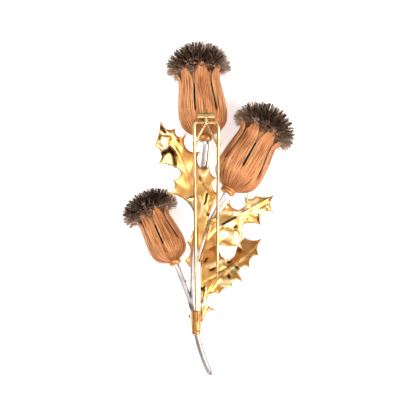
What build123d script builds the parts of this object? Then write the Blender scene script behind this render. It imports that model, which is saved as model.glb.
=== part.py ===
from build123d import *
from math import atan2, cos, degrees, hypot, radians, sin, sqrt, tan
import os

# A thistle brooch of three flower heads on silver stems with gold leaves, in millimetres.
# It lies on its face: z = 0 is what it rests on, the back with the pin looks up,
# +Y points to the top flower and -Y to the tail of the stem.

# Clearances and sheet
solder_gap = 0.05        # left between two metals that are soldered on the real brooch
running_gap = 0.08       # round a part that slides or turns
leaf_sheet = 0.6

# Flower heads. turn is the head's lean from +Y towards +X in degrees, nod its dip to the front.
nod_angle = 12.0
calyx_radius = 7.65
calyx_height = 23.2
calyx_wall = 0.8
whorl_wall = 0.56        # the second whorl of sepals inside the first
whorl_bite = 0.1         # how far it is sunk into the calyx wall
sepal_count = 7
slit_width = 0.45
collar_waist = 0.9       # share of the radius between the bands
plug_inset = 1.6         # the tuft's plug inside the calyx
tuft_radius = 9.9
tuft_height = 31.4
lock_taper = 0.3         # a lock's tip as a share of its foot
small_head = 0.78
small_tuft_radius = 8.9
small_tuft_height = 25.2
heads = {
    "top": dict(x=-0.47, y=21.08, turn=-5.6, slit=-16.8, size=1.0, bands=1, collar=2.1,
                tuft_radius=tuft_radius, tuft_height=tuft_height),
    "right": dict(x=6.08, y=4.96, turn=30.1, slit=0.0, size=1.0, bands=2, collar=2.45,
                  tuft_radius=tuft_radius, tuft_height=tuft_height),
    "left": dict(x=-9.67, y=-17.17, turn=-25.7, slit=-6.5, size=small_head, bands=1, collar=1.95,
                 tuft_radius=small_tuft_radius, tuft_height=small_tuft_height),
}

# Stems
stem_radius = 0.96
branch_radius = 0.91
tail_radius = 1.06
stem_lead = 1.2          # straight run of a stem below its collar
bend_share = 0.45        # of the shorter run beside a bend
largest_bend = 60.0
spur_place = 0.44        # share of the left stem where a small spur stands
spur_radius = 0.6

# Thin wires that hold a leaf to the flower head above it
strut_radius = 0.27
strut_seat = 0.3         # from the calyx wall out to the wire's end
left_strut_foot = (-8.3, 21.0, 14.4)
right_strut_foot = (12.5, 1.6, 14.37)

# Pin, hinge and catch
prong_radius = 0.48
prong_point = 0.08
prong_blunt = 0.22       # the long prong's end, which stays in the catch
fork_left = -3.9
fork_right = 3.5
fork_drop = 2.1          # from the hinge axis down to the fork's bar
fork_corner = 1.6
brace_radius = 0.45
brace_apex = 0.35        # below the bar's middle
brace_left = 9.0         # runs below the hinge axis where the V brace meets the prongs
brace_right = 9.3
solder_radius = 0.68     # the bead round a prong where the brace meets it
solder_above = 0.9       # the bead's reach along the prong, above and below the brace's end
solder_below = 0.5
apex_radius = 0.75       # the drop of solder where the brace meets the bar
short_prong_x = 3.2
short_prong_end = -21.7
short_point_length = 5.0
hinge_x = -0.28
hinge_y = 28.68
hinge_rise = 1.5         # hinge axis above the calyx
knuckle_radius = 0.92
knuckle_length = 2.0
web_bite = 1.2           # the webs' reach below the calyx surface, before it trims them
eye_radius = 1.2
tongue_width = 0.8
tongue_play = 0.18       # beside the tongue, between the knuckles
tongue_tail = 1.9
tongue_lift = 25.0
rivet_radius = 0.33
rivet_fit = 0.04
rivet_edge = 0.13
catch_x = -3.4
catch_mouth = -31.6
catch_z = 15.6
catch_length = 5.7
catch_radius = 1.5
catch_bore = 1.15
catch_slot = 1.3
catch_travel = 3.2
slider_bore = 0.75
slider_floor = 1.0
ring_radius = 1.42
ring_length = 1.25
ring_edge = 0.3
ring_gap = 0.25
prong_entry = 2.3        # how far the long prong reaches into the catch
point_lead = 0.4         # its point starts this far outside the catch's mouth


def head_plane(head):
    """The head's own plane: origin at the collar's foot, z along the head, -y to the back."""
    turn = radians(head["turn"])
    nod = radians(nod_angle)
    widest = tuft_widest * head["tuft_height"]
    foot_z = widest * sin(nod) + head["tuft_radius"] * cos(nod)
    axis = Vector(sin(turn) * cos(nod), cos(turn) * cos(nod), -sin(nod))
    return Plane(origin=(head["x"], head["y"], foot_z), x_dir=(cos(turn), -sin(turn), 0), z_dir=axis)


def lathe_plane(plane):
    """Sketch plane through the head's axis: sketch x is the radius, sketch y runs along the head."""
    return Plane(origin=plane.origin, x_dir=plane.x_dir, z_dir=-plane.y_dir)


def petal_plane(plane, angle):
    """Upright plane through the head's axis that faces outwards at an angle from the back."""
    outward = plane.x_dir * sin(radians(angle)) - plane.y_dir * cos(radians(angle))
    return Plane(origin=plane.origin, x_dir=plane.z_dir.cross(outward), z_dir=outward)


# The calyx wall as shares of its radius and height, from the collar to the sepals' tips
calyx_rows = [
    dict(out=0.330, up=0.075),
    dict(out=0.700, up=0.128),
    dict(out=0.925, up=0.224),
    dict(out=1.000, up=0.366),
    dict(out=0.954, up=0.526),
    dict(out=0.878, up=0.681),
    dict(out=0.824, up=0.819),
    dict(out=0.860, up=0.905),
    dict(out=0.985, up=1.000),
]
whorl_foot = 0.62        # shares of the calyx height
whorl_tip = 1.05

# Gaps between sepals: half the opening as a share of the calyx radius, and the slit's foot,
# the shoulder where it opens and the top as shares of the calyx height
outer_gaps = dict(half=0.50, foot=0.40, shoulder=0.74, top=1.02)
whorl_gaps = dict(half=0.42, foot=0.80, shoulder=0.86, top=1.07)
arch_out = 0.32          # the arch's bulge as shares of its width and height
arch_up = 0.62

# The tuft's head as shares of its radius and height, and its rings of locks
tuft_widest = 0.745
dome_rows = [
    dict(out=0.74, up=0.800),
    dict(out=0.86, up=0.745),
    dict(out=0.68, up=0.880),
    dict(out=0.00, up=0.955),
]
lock_rings = [
    dict(count=18, out=0.70, up=0.790, rise=-22.0, fat=0.085),
    dict(count=18, out=0.70, up=0.835, rise=12.0, fat=0.085),
    dict(count=12, out=0.48, up=0.860, rise=42.0, fat=0.090),
    dict(count=6, out=0.22, up=0.880, rise=68.0, fat=0.095),
    dict(count=1, out=0.00, up=0.880, rise=90.0, fat=0.095),
]


def wall_points(rows, radius, height, inset=0.0):
    return [(row["out"] * radius - inset, row["up"] * height) for row in rows]


def make_calyx(name, head):
    """Rose gold calyx: a bell of seven sepals with pointed tips and a second whorl inside."""
    plane = head_plane(head)
    radius = calyx_radius * head["size"]
    height = calyx_height * head["size"]
    outer = wall_points(calyx_rows, radius, height)
    inner = wall_points(calyx_rows, radius, height, calyx_wall)
    floor_up = outer[0][1] + calyx_wall
    outer_gap = sepal_gap(outer_gaps, radius, height)
    inner_gap = sepal_gap(whorl_gaps, radius, height)
    with BuildPart() as calyx:
        with BuildSketch(lathe_plane(plane)):
            with BuildLine():
                Line((0, outer[0][1]), outer[0])
                ThreePointArc(outer[0], outer[1], outer[2])
                ThreePointArc(outer[2], outer[3], outer[4])
                ThreePointArc(outer[4], outer[5], outer[6])
                ThreePointArc(outer[6], outer[7], outer[8])
                Line(outer[8], inner[8])
                ThreePointArc(inner[8], inner[7], inner[6])
                ThreePointArc(inner[6], inner[5], inner[4])
                ThreePointArc(inner[4], inner[3], inner[2])
                Line(inner[2], (inner[0][0], floor_up + calyx_wall))
                Line((inner[0][0], floor_up + calyx_wall), (0, floor_up))
                Line((0, floor_up), (0, outer[0][1]))
            make_face()
        revolve(axis=Axis(plane.origin, plane.z_dir))
        for k in range(sepal_count):
            angle = head["slit"] + k * 360 / sepal_count
            with BuildSketch(petal_plane(plane, angle)):
                add(outer_gap)
            extrude(amount=2 * radius, mode=Mode.SUBTRACT)
    with BuildPart() as whorl_ring:
        with BuildSketch(lathe_plane(plane)):
            with BuildLine():
                low = (inner[5][0] + whorl_bite, whorl_foot * height)
                mid = (inner[6][0] + whorl_bite, inner[6][1])
                tip = (inner[7][0] + whorl_bite, whorl_tip * height)
                inner_low = (low[0] - whorl_wall, low[1])
                inner_mid = (mid[0] - whorl_wall, mid[1])
                inner_end = (tip[0] - whorl_wall, tip[1])
                ThreePointArc(low, mid, tip)
                Line(tip, inner_end)
                ThreePointArc(inner_end, inner_mid, inner_low)
                Line(inner_low, low)
            make_face()
        revolve(axis=Axis(plane.origin, plane.z_dir))
        for k in range(sepal_count):
            angle = head["slit"] + (k + 0.5) * 360 / sepal_count
            with BuildSketch(petal_plane(plane, angle)):
                add(inner_gap)
            extrude(amount=2 * radius, mode=Mode.SUBTRACT)
    with BuildPart() as whole:
        add(calyx.part)
        add(whorl_ring.part)
    whole.part.label = name
    return whole.part


def sepal_gap(gap_row, radius, height):
    """The gap between two sepals: a slit that opens to a pointed arch."""
    half_slit = slit_width / 2
    half_top = gap_row["half"] * radius
    foot = gap_row["foot"] * height
    shoulder = gap_row["shoulder"] * height
    top = gap_row["top"] * height
    bulge = (half_slit + arch_out * (half_top - half_slit), shoulder + arch_up * (top - shoulder))
    with BuildSketch() as gap:
        with BuildLine():
            Line((-half_slit, foot), (half_slit, foot))
            Line((half_slit, foot), (half_slit, shoulder))
            ThreePointArc((half_slit, shoulder), bulge, (half_top, top))
            Line((half_top, top), (-half_top, top))
            ThreePointArc((-half_top, top), (-bulge[0], bulge[1]), (-half_slit, shoulder))
            Line((-half_slit, shoulder), (-half_slit, foot))
        make_face()
    return gap.sketch


def make_collar(name, head):
    """Turned collar under the calyx, with one or two rounded bands."""
    plane = head_plane(head)
    size = head["size"]
    top = calyx_rows[0]["up"] * calyx_height * size - solder_gap
    radius = head["collar"]
    band = top / head["bands"]
    with BuildPart() as collar:
        with BuildSketch(lathe_plane(plane)):
            with BuildLine():
                Line((0, 0), (radius * collar_waist, 0))
                for k in range(head["bands"]):
                    low = (radius * collar_waist, k * band)
                    high = (radius * collar_waist, (k + 1) * band)
                    ThreePointArc(low, (radius, (k + 0.5) * band), high)
                Line((radius * collar_waist, top), (0, top))
                Line((0, top), (0, 0))
            make_face()
        revolve(axis=Axis(plane.origin, plane.z_dir))
    collar.part.label = name
    return collar.part


def make_tuft(name, head):
    """Dark silver tuft: a domed head on a plug, with rings of pointed locks fused to it."""
    plane = head_plane(head)
    radius = head["tuft_radius"]
    height = head["tuft_height"]
    size = head["size"]
    plug_radius = calyx_rows[6]["out"] * calyx_radius * size - plug_inset
    plug_low = outer_gaps["foot"] * calyx_height * size
    dome = wall_points(dome_rows, radius, height)
    plug_high = dome[0][1]
    with BuildPart() as tuft:
        with BuildSketch(lathe_plane(plane)):
            with BuildLine():
                Line((0, plug_low), (plug_radius, plug_low))
                Line((plug_radius, plug_low), (plug_radius, plug_high))
                Line((plug_radius, plug_high), dome[0])
                Line(dome[0], dome[1])
                ThreePointArc(dome[1], dome[2], dome[3])
                Line(dome[3], (0, plug_low))
            make_face()
        revolve(axis=Axis(plane.origin, plane.z_dir))
        for n, ring in enumerate(lock_rings):
            rise = radians(ring["rise"])
            foot = ring["fat"] * radius
            start = Vector(ring["out"] * radius, ring["up"] * height)
            outline = Vector(cos(rise), sin(rise))
            reach = lock_reach(start, outline, radius, height)
            for k in range(ring["count"]):
                angle = radians((k + 0.5 * (n % 2)) * 360 / ring["count"])
                outward = plane.x_dir * cos(angle) + plane.y_dir * sin(angle)
                origin = plane.origin + outward * start.X + plane.z_dir * start.Y
                lean = outward * outline.X + plane.z_dir * outline.Y
                side = plane.z_dir.cross(outward)
                with Locations(Plane(origin=origin, x_dir=side, z_dir=lean)):
                    Cone(foot, foot * lock_taper, reach, align=(Align.CENTER, Align.CENTER, Align.MIN))
    tuft.part.label = name
    return tuft.part


def lock_reach(start, outline, radius, height):
    """Length that brings a lock's end to the tuft's rounded outline."""
    middle = Vector(0, tuft_widest * height)
    flat = height - middle.Y
    x = start.X / radius
    y = (start.Y - middle.Y) / flat
    dx = outline.X / radius
    dy = outline.Y / flat
    a = dx * dx + dy * dy
    b = x * dx + y * dy
    c = x * x + y * y - 1
    return (-b + sqrt(b * b - a * c)) / a


# Leaves. A midrib is a curve over four points: foot, two handles and tip.
# A row of the outline is a spine's tip or the bay beside it: how far along the midrib it lies,
# and its reach from the midrib as a share of the leaf's half width, left positive.
# droop is the angle in degrees at which each side falls away from the midrib's ridge.
leaves = {
    "upper_left_leaf": dict(
        midrib=[(-2.72, -12.67, 14.8), (-2.35, -2.14, 17.65), (-5.55, 13.75, 18.39), (-14.4, 27.3, 11.0)],
        half_width=8.6, droop_left=16.0, droop_right=7.0, foot=0.5,
        left=[(0.16, 0.06, "corner"), (0.29, 0.06, "corner"), (0.42, 0.25, "bay"), (0.51, 0.82, "spine"),
              (0.55, 0.53, "bay"), (0.60, 0.51, "spine"), (0.625, 0.18, "bay"), (0.67, 0.24, "corner"),
              (0.715, 0.49, "bay"), (0.75, 0.77, "spine"), (0.79, 0.58, "bay"), (0.875, 0.63, "spine"),
              (0.935, 0.31, "bay")],
        right=[(0.94, 0.02, "bay"), (0.91, 0.31, "spine"), (0.865, 0.25, "bay"), (0.84, 0.52, "spine"),
               (0.76, 0.36, "bay"), (0.715, 0.74, "spine"), (0.67, 0.54, "bay"), (0.625, 0.55, "corner"),
               (0.605, 0.65, "bay"), (0.625, 0.92, "spine"), (0.58, 0.84, "bay"), (0.525, 0.98, "spine"),
               (0.48, 0.77, "bay"), (0.425, 0.90, "spine"), (0.365, 0.71, "bay"), (0.305, 0.52, "corner"),
               (0.19, 0.31, "bay")]),
    "upper_right_leaf": dict(
        midrib=[(-2.1, -16.4, 14.75), (-0.3, -5.2, 17.2), (10.2, -2.2, 16.0), (20.8, 4.2, 11.5)],
        half_width=9.5, droop_left=8.0, droop_right=13.5, foot=0.6,
        left=[(0.21, 0.10, "bay"), (0.41, 0.42, "spine"), (0.52, 0.42, "bay"), (0.64, 0.59, "spine"),
              (0.65, 0.20, "bay"), (0.77, 0.43, "spine"), (0.81, 0.27, "bay"), (0.86, 0.29, "spine"),
              (0.93, 0.09, "bay")],
        right=[(0.95, 0.12, "bay"), (0.93, 0.49, "spine"), (0.84, 0.32, "bay"), (0.78, 0.62, "spine"),
               (0.72, 0.45, "bay"), (0.66, 0.35, "corner"), (0.60, 0.41, "bay"), (0.58, 0.64, "spine"),
               (0.51, 0.75, "bay"), (0.48, 1.02, "spine"), (0.42, 0.78, "bay"), (0.34, 0.64, "spine"),
               (0.20, 0.23, "bay")]),
    "lower_right_leaf": dict(
        midrib=[(-1.75, -35.1, 13.0), (-0.1, -20.6, 14.6), (7.7, -19.6, 9.6), (17.2, -9.3, 0.62)],
        half_width=7.0, droop_left=2.0, droop_right=9.0, foot=0.35,
        left=[(0.28, 0.49, "corner"), (0.50, 1.37, "corner"), (0.58, 1.48, "corner"),
              (0.63, 1.40, "corner"), (0.655, 1.14, "corner"), (0.625, 0.61, "spine"), (0.66, 0.35, "bay"),
              (0.76, 0.38, "corner"), (0.82, 0.52, "bay"), (0.91, 0.59, "spine"), (0.94, 0.25, "bay")],
        right=[(0.94, 0.10, "bay"), (0.89, 0.39, "spine"), (0.83, 0.29, "bay"), (0.77, 0.50, "spine"),
               (0.71, 0.32, "bay"), (0.65, 0.41, "spine"), (0.64, 0.56, "bay"), (0.62, 0.78, "spine"),
               (0.53, 0.54, "bay"), (0.48, 0.76, "spine"), (0.405, 0.48, "bay"), (0.31, 0.41, "spine"),
               (0.225, 0.02, "bay"), (0.13, 0.51, "spine"), (0.07, 0.17, "bay")]),
    "front_leaf": dict(
        midrib=[(-4.2, -35.2, 11.5), (-4.7, -27.6, 11.8), (-5.0, -14.3, 11.8), (-4.3, -6.7, 11.8)],
        half_width=2.3, droop_left=10.0, droop_right=10.0, foot=0.4,
        left=[(0.03, 0.34, "corner"), (0.08, 0.70, "spine"), (0.145, 0.31, "bay"), (0.265, 0.25, "corner"),
              (0.58, 0.16, "corner"), (0.66, 0.88, "spine"), (0.765, 0.19, "bay"), (0.85, 0.70, "spine"),
              (0.90, 0.30, "bay"), (0.96, 0.13, "corner")],
        right=[(0.90, 0.30, "bay"), (0.72, 0.70, "spine"), (0.50, 0.30, "bay"), (0.30, 0.70, "spine"),
               (0.10, 0.25, "bay")]),
}
spine_tip = 0.12         # half the width of a spine's blunt end
section_shares = (0.0, 0.2, 0.4, 0.6, 0.8, 1.0)
sheet_spare = 0.12       # how far the uncut sheet passes the outline, as a share of the leaf's length
leaf_cup = 0.03          # each side's bulge upwards as a share of the sheet's half width
cut_height = 30.0        # higher than any leaf


def along(points, t):
    """Place, direction of travel in plan and left-hand normal at a share t of a midrib."""
    a, b, c, d = (Vector(*p) for p in points)
    s = 1 - t
    place = a * s**3 + b * (3 * s * s * t) + c * (3 * s * t * t) + d * t**3
    slope = (b - a) * (3 * s * s) + (c - b) * (6 * s * t) + (d - c) * (3 * t * t)
    travel = Vector(slope.X, slope.Y, 0).normalized()
    return place, travel, Vector(-travel.Y, travel.X, 0)


def leaf_outline(leaf):
    """Runs of the plan outline from the foot round and back: start, bay or None, and end."""
    rib = leaf["midrib"]
    place, travel, normal = along(rib, 0)
    corners = [(place + normal * leaf["foot"], travel * 0, None)]
    bay = None
    for side, rows in ((1, leaf["left"]), (-1, leaf["right"])):
        for share, reach, kind in rows:
            place, travel, normal = along(rib, share)
            point = place + normal * (side * reach * leaf["half_width"])
            if kind == "bay":
                bay = point
                continue
            blunt = travel * (side * spine_tip) if kind == "spine" else travel * 0
            corners.append((point, blunt, bay))
            bay = None
        if side == 1:
            place, travel, normal = along(rib, 1)
            corners.append((place, normal * -spine_tip, bay))
            bay = None
    place, travel, normal = along(rib, 0)
    corners.append((place - normal * leaf["foot"], travel * 0, bay))
    runs = []
    for before, here in zip(corners, corners[1:]):
        runs.append((flat(before[0] + before[1]), here[2], flat(here[0] - here[1])))
        if here[1].length > 0:
            runs.append((flat(here[0] - here[1]), None, flat(here[0] + here[1])))
    runs.append((flat(corners[-1][0]), None, flat(corners[0][0])))
    return runs


def flat(point):
    return Vector(point.X, point.Y, 0)


def make_leaf(name, leaf):
    """Gold leaf: a sheet folded along its midrib, cut to a spiny outline."""
    rib = leaf["midrib"]
    foot = Vector(*rib[0])
    tip = Vector(*rib[3])
    chord = Vector(tip.X - foot.X, tip.Y - foot.Y, 0)
    length = chord.length
    ahead = chord.normalized()
    left = Vector(-ahead.Y, ahead.X, 0)
    reach = leaf["half_width"] + 2 * sheet_spare * length
    cup = leaf_cup * reach
    fall_left = tan(radians(leaf["droop_left"]))
    fall_right = tan(radians(leaf["droop_right"]))
    with BuildPart() as blade:
        for share in section_shares:
            place = along(rib, share)[0]
            step = (place - foot).dot(ahead)
            if share == 0.0:
                step = -sheet_spare * length
            if share == 1.0:
                step = (1 + sheet_spare) * length
            side = (place - foot).dot(left)
            origin = Vector(foot.X, foot.Y, 0) + ahead * step
            section = Plane(origin=origin, x_dir=left, z_dir=ahead)
            ridge = (side, place.Z)
            wing_left = (side + reach, place.Z - reach * fall_left)
            wing_right = (side - reach, place.Z - reach * fall_right)
            half_left = (side + reach / 2, place.Z - reach * fall_left / 2 + cup)
            half_right = (side - reach / 2, place.Z - reach * fall_right / 2 + cup)
            with BuildSketch(section):
                with BuildLine():
                    ThreePointArc(wing_left, half_left, ridge)
                    ThreePointArc(ridge, half_right, wing_right)
                    Line(wing_right, (wing_right[0], wing_right[1] - leaf_sheet))
                    ThreePointArc((wing_right[0], wing_right[1] - leaf_sheet),
                                  (half_right[0], half_right[1] - leaf_sheet),
                                  (ridge[0], ridge[1] - leaf_sheet))
                    ThreePointArc((ridge[0], ridge[1] - leaf_sheet),
                                  (half_left[0], half_left[1] - leaf_sheet),
                                  (wing_left[0], wing_left[1] - leaf_sheet))
                    Line((wing_left[0], wing_left[1] - leaf_sheet), wing_left)
                make_face()
        loft()
        with BuildSketch():
            with BuildLine():
                for start, bay, end in leaf_outline(leaf):
                    if bay is None:
                        Line(start, end)
                    else:
                        ThreePointArc(start, flat(bay), end)
            make_face()
        extrude(amount=cut_height, mode=Mode.INTERSECT)
    blade.part.label = name
    return blade.part


# Stems, as runs of points from the flower head or the junction, joined by arcs
def stem_start(head, step):
    """A point on the head's axis, a step below the collar's foot."""
    plane = head_plane(head)
    return plane.origin - plane.z_dir * step


main_run = [(-0.95, 13.2, 13.9), (-3.05, -6.5, 13.0), (-4.15, -16.5, 12.9), (-4.4, -29.5, 13.2),
            (-4.2, -35.2, 12.75), (-3.2, -39.0, 11.9), (-2.1, -43.4, 10.9), (-0.6, -47.7, 9.8),
            (1.15, -51.6, 8.6)]
right_run = [(1.6, -3.1, 13.7), (-1.86, -9.6, 13.15), (-3.1, -13.6, 13.0), (-4.15, -18.6, 12.95)]
left_run = [(-5.3, -28.2, 13.25), (-4.45, -31.5, 13.1)]


def make_stems():
    """Silver stems: the main stem with its tail, and the branches of the two lower heads."""
    runs = [
        (heads["top"], main_run, stem_radius),
        (heads["right"], right_run, branch_radius),
        (heads["left"], left_run, branch_radius),
    ]
    with BuildPart() as stems:
        for head, run, radius in runs:
            corners = [stem_start(head, solder_gap), stem_start(head, stem_lead)]
            corners += [Vector(*point) for point in run]
            with BuildLine() as path:
                FilletPolyline(*corners, radius=bend_radii(corners))
            start = path.line @ 0
            with BuildSketch(Plane(origin=start, z_dir=path.line % 0)):
                Circle(radius)
            sweep(path=path.line)
        end = Vector(*main_run[-1])
        with Locations(end):
            Sphere(tail_radius)
        lead = stem_start(heads["left"], stem_lead)
        spur = lead + (Vector(*left_run[0]) - lead) * spur_place
        with Locations(spur + Vector(branch_radius, 0, 0)):
            Sphere(spur_radius)
    stems.part.label = "stems"
    return stems.part


def bend_radii(points):
    """An arc for each bend, as large as its two runs allow."""
    radii = []
    for before, here, after in zip(points, points[1:], points[2:]):
        turn = (here - before).get_angle(after - here)
        run = min((here - before).length, (after - here).length)
        radii.append(min(bend_share * run / tan(radians(turn) / 2), largest_bend))
    return radii


# Hinge, pin and catch
def calyx_top(x, y):
    """Height of the top calyx's back above a place in plan, from its axis and its widest radius."""
    plane = head_plane(heads["top"])
    outer = wall_points(calyx_rows, calyx_radius, calyx_height)
    up = (y - plane.origin.Y) / cos(radians(nod_angle))
    low, mid, high = outer[2], outer[3], outer[4]
    share = (up - low[1]) / (high[1] - low[1])
    radius = low[0] * (1 - share) ** 2 + (2 * mid[0] - (low[0] + high[0]) / 2) * 2 * share * (1 - share)
    radius += high[0] * share**2
    axis_z = plane.origin.Z - up * sin(radians(nod_angle))
    axis_x = plane.origin.X + tan(radians(heads["top"]["turn"])) * (y - plane.origin.Y)
    return axis_z + sqrt(radius**2 - (x - axis_x) ** 2) / cos(radians(nod_angle))


hinge_z = calyx_top(hinge_x, hinge_y) + hinge_rise
pin_fall = degrees(atan2(hinge_z - catch_z, hinge_y - catch_mouth))
pin_run = hypot(hinge_z - catch_z, hinge_y - catch_mouth)
pin_plane = Plane(origin=(0, hinge_y, hinge_z), x_dir=(1, 0, 0),
                  z_dir=(0, -sin(radians(pin_fall)), cos(radians(pin_fall))))


def on_pin(x, run):
    """A point of the pin's plane, at a run below the hinge axis."""
    return pin_plane.from_local_coords(Vector(x, -run, 0))


prong_dir = (on_pin(catch_x, pin_run) - on_pin(fork_left, fork_drop)).normalized()
point_start = on_pin(catch_x, pin_run) - prong_dir * point_lead
short_end = on_pin(short_prong_x, hinge_y - short_prong_end - short_point_length)
short_dir = (short_end - on_pin(fork_right, fork_drop)).normalized()
left_foot = on_pin(fork_left, fork_drop) + prong_dir * (brace_left - fork_drop)
right_foot = on_pin(fork_right, fork_drop) + short_dir * (brace_right - fork_drop)
catch_plane = Plane(origin=on_pin(catch_x, pin_run), x_dir=(1, 0, 0), z_dir=prong_dir)
catch_back = Vector(0, 0, 1) - prong_dir * prong_dir.Z
slot_plane = Plane(origin=catch_plane.origin, x_dir=prong_dir, z_dir=catch_back)


def make_knuckles():
    """Two hinge knuckles on webs that stand on the calyx."""
    half = tongue_width / 2 + tongue_play
    reach = hinge_rise + web_bite
    plane = head_plane(heads["top"])
    outer = wall_points(calyx_rows, calyx_radius + solder_gap, calyx_height)
    with BuildPart() as knuckles:
        for side in (-1, 1):
            middle = hinge_x + side * (half + knuckle_length / 2)
            with BuildSketch(Plane.YZ.offset(middle - knuckle_length / 2)):
                with Locations((hinge_y, hinge_z)):
                    Circle(knuckle_radius)
                with Locations((hinge_y, hinge_z - reach / 2)):
                    Rectangle(2 * knuckle_radius, reach)
            extrude(amount=knuckle_length)
        with BuildSketch(lathe_plane(plane)):
            with BuildLine():
                Line((0, outer[0][1]), outer[0])
                ThreePointArc(outer[0], outer[1], outer[2])
                ThreePointArc(outer[2], outer[3], outer[4])
                Line(outer[4], (0, outer[4][1]))
                Line((0, outer[4][1]), (0, outer[0][1]))
            make_face()
        revolve(axis=Axis(plane.origin, plane.z_dir), mode=Mode.SUBTRACT)
        with BuildSketch(Plane.YZ.offset(hinge_x - 2 * knuckle_length)):
            with Locations((hinge_y, hinge_z)):
                Circle(rivet_radius + rivet_fit)
        extrude(amount=4 * knuckle_length, mode=Mode.SUBTRACT)
    knuckles.part.label = "hinge_knuckles"
    return knuckles.part


def make_rivet():
    half = tongue_width / 2 + tongue_play + knuckle_length
    with BuildPart() as rivet:
        with BuildSketch(Plane.YZ.offset(hinge_x - half)):
            with Locations((hinge_y, hinge_z)):
                Circle(rivet_radius)
        extrude(amount=2 * half)
        fillet(rivet.edges().filter_by(GeomType.CIRCLE), rivet_edge)
    rivet.part.label = "hinge_rivet"
    return rivet.part


def make_pin():
    """Double pin: a fork of two prongs with a V brace, on a tongue with an eye."""
    left_end = point_start
    with BuildPart() as pin:
        with BuildLine() as bow:
            FilletPolyline(left_end, on_pin(fork_left, fork_drop), on_pin(fork_right, fork_drop),
                           short_end,
                           radius=fork_corner)
        with BuildSketch(Plane(origin=bow.line @ 0, z_dir=bow.line % 0)):
            Circle(prong_radius)
        sweep(path=bow.line)
        with Locations(Plane(origin=bow.line @ 1, z_dir=bow.line % 1)):
            Cone(prong_radius, prong_point, short_point_length, align=(Align.CENTER, Align.CENTER, Align.MIN))
        with Locations(Plane(origin=left_end, z_dir=prong_dir)):
            Cone(prong_radius, prong_blunt, point_lead + prong_entry,
                 align=(Align.CENTER, Align.CENTER, Align.MIN))
        apex = on_pin(hinge_x, fork_drop + brace_apex)
        with Locations(apex):
            Sphere(apex_radius)
        for foot, ahead in ((left_foot, prong_dir), (right_foot, short_dir)):
            with BuildLine() as brace:
                Line(apex, foot)
            with BuildSketch(Plane(origin=apex, z_dir=foot - apex)):
                Circle(brace_radius)
            sweep(path=brace.line)
            with BuildSketch(Plane(origin=foot - ahead * solder_above, z_dir=ahead)):
                Circle(solder_radius)
            extrude(amount=solder_above + solder_below)
        with BuildSketch(Plane.YZ.offset(hinge_x - tongue_width / 2)):
            with Locations((hinge_y, hinge_z)):
                Circle(eye_radius)
        extrude(amount=tongue_width)
        with BuildLine() as tongue:
            Line(on_pin(hinge_x, 0), on_pin(hinge_x, fork_drop))
        with BuildSketch(Plane(origin=tongue.line @ 0, z_dir=tongue.line % 0)):
            Circle(tongue_width / 2)
        sweep(path=tongue.line)
        lift = radians(tongue_lift)
        tail_end = Vector(hinge_x, hinge_y + tongue_tail * cos(lift), hinge_z + tongue_tail * sin(lift))
        with BuildLine() as tail:
            Line(on_pin(hinge_x, 0), tail_end)
        with BuildSketch(Plane(origin=tail.line @ 0, z_dir=tail.line % 0)):
            Circle(tongue_width / 2)
        sweep(path=tail.line)
        with BuildSketch(Plane.YZ.offset(hinge_x - tongue_width)):
            with Locations((hinge_y, hinge_z)):
                Circle(rivet_radius + running_gap)
        extrude(amount=2 * tongue_width, mode=Mode.SUBTRACT)
    pin.part.label = "pin_fork"
    return pin.part


def make_catch_tube():
    """Fixed outer tube of the catch, with a slot on its back that lets the prong out."""
    with BuildPart() as tube:
        with BuildSketch(catch_plane):
            Circle(catch_radius)
            Circle(catch_bore, mode=Mode.SUBTRACT)
        extrude(amount=catch_length)
        with BuildSketch(slot_plane):
            Rectangle(2 * catch_travel, catch_slot)
        extrude(amount=2 * catch_radius, mode=Mode.SUBTRACT)
    tube.part.label = "catch_tube"
    return tube.part


def make_slider():
    """Inner tube that closes the slot, with the ring that is pulled to open the catch."""
    outer = catch_bore - running_gap
    start = solder_gap
    ring_start = catch_length + ring_gap
    with BuildPart() as slider:
        with BuildSketch(catch_plane.offset(start)):
            Circle(outer)
        extrude(amount=ring_start - start)
        with BuildSketch(catch_plane.offset(ring_start)):
            Circle(ring_radius)
        extrude(amount=ring_length)
        rims = slider.edges().filter_by(GeomType.CIRCLE).filter_by(lambda e: e.radius > ring_radius - 0.01)
        fillet(rims, ring_edge)
        with BuildSketch(catch_plane.offset(start)):
            Circle(slider_bore)
        extrude(amount=catch_length - slider_floor, mode=Mode.SUBTRACT)
    slider.part.label = "catch_slider"
    return slider.part


def make_strut(name, head, side, foot):
    """Thin wire from the side of a calyx's base down to a leaf."""
    base = calyx_rows[1]
    out = base["out"] * calyx_radius + strut_seat
    a = head_plane(head).from_local_coords(Vector(side * out, 0, base["up"] * calyx_height))
    b = Vector(*foot)
    with BuildPart() as strut:
        with BuildSketch(Plane(origin=a, z_dir=b - a)):
            Circle(strut_radius)
        extrude(amount=(b - a).length)
    strut.part.label = name
    return strut.part


pieces = []
for side, head in heads.items():
    pieces.append(make_calyx(side + "_calyx", head))
    pieces.append(make_collar(side + "_collar", head))
    pieces.append(make_tuft(side + "_tuft", head))
pieces.append(make_stems())
for name, leaf in leaves.items():
    pieces.append(make_leaf(name, leaf))
pieces.append(make_knuckles())
pieces.append(make_rivet())
pieces.append(make_pin())
pieces.append(make_catch_tube())
pieces.append(make_slider())
pieces.append(make_strut("left_strut", heads["top"], -1, left_strut_foot))
pieces.append(make_strut("right_strut", heads["right"], 1, right_strut_foot))

os.makedirs("parts", exist_ok=True)
for piece in pieces:
    export_step(piece, "parts/" + piece.label + ".step")
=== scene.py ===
# A thistle brooch lying on its face: rose gold flower heads with dark silver bristles,
# silver stems, spiny gold leaves, and the double pin and tube catch on the back.
# Sizes are in millimetres; mm turns them into Blender's metres.
import math

import bpy
import numpy as np
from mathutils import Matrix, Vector
from mathutils.geometry import delaunay_2d_cdt


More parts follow.
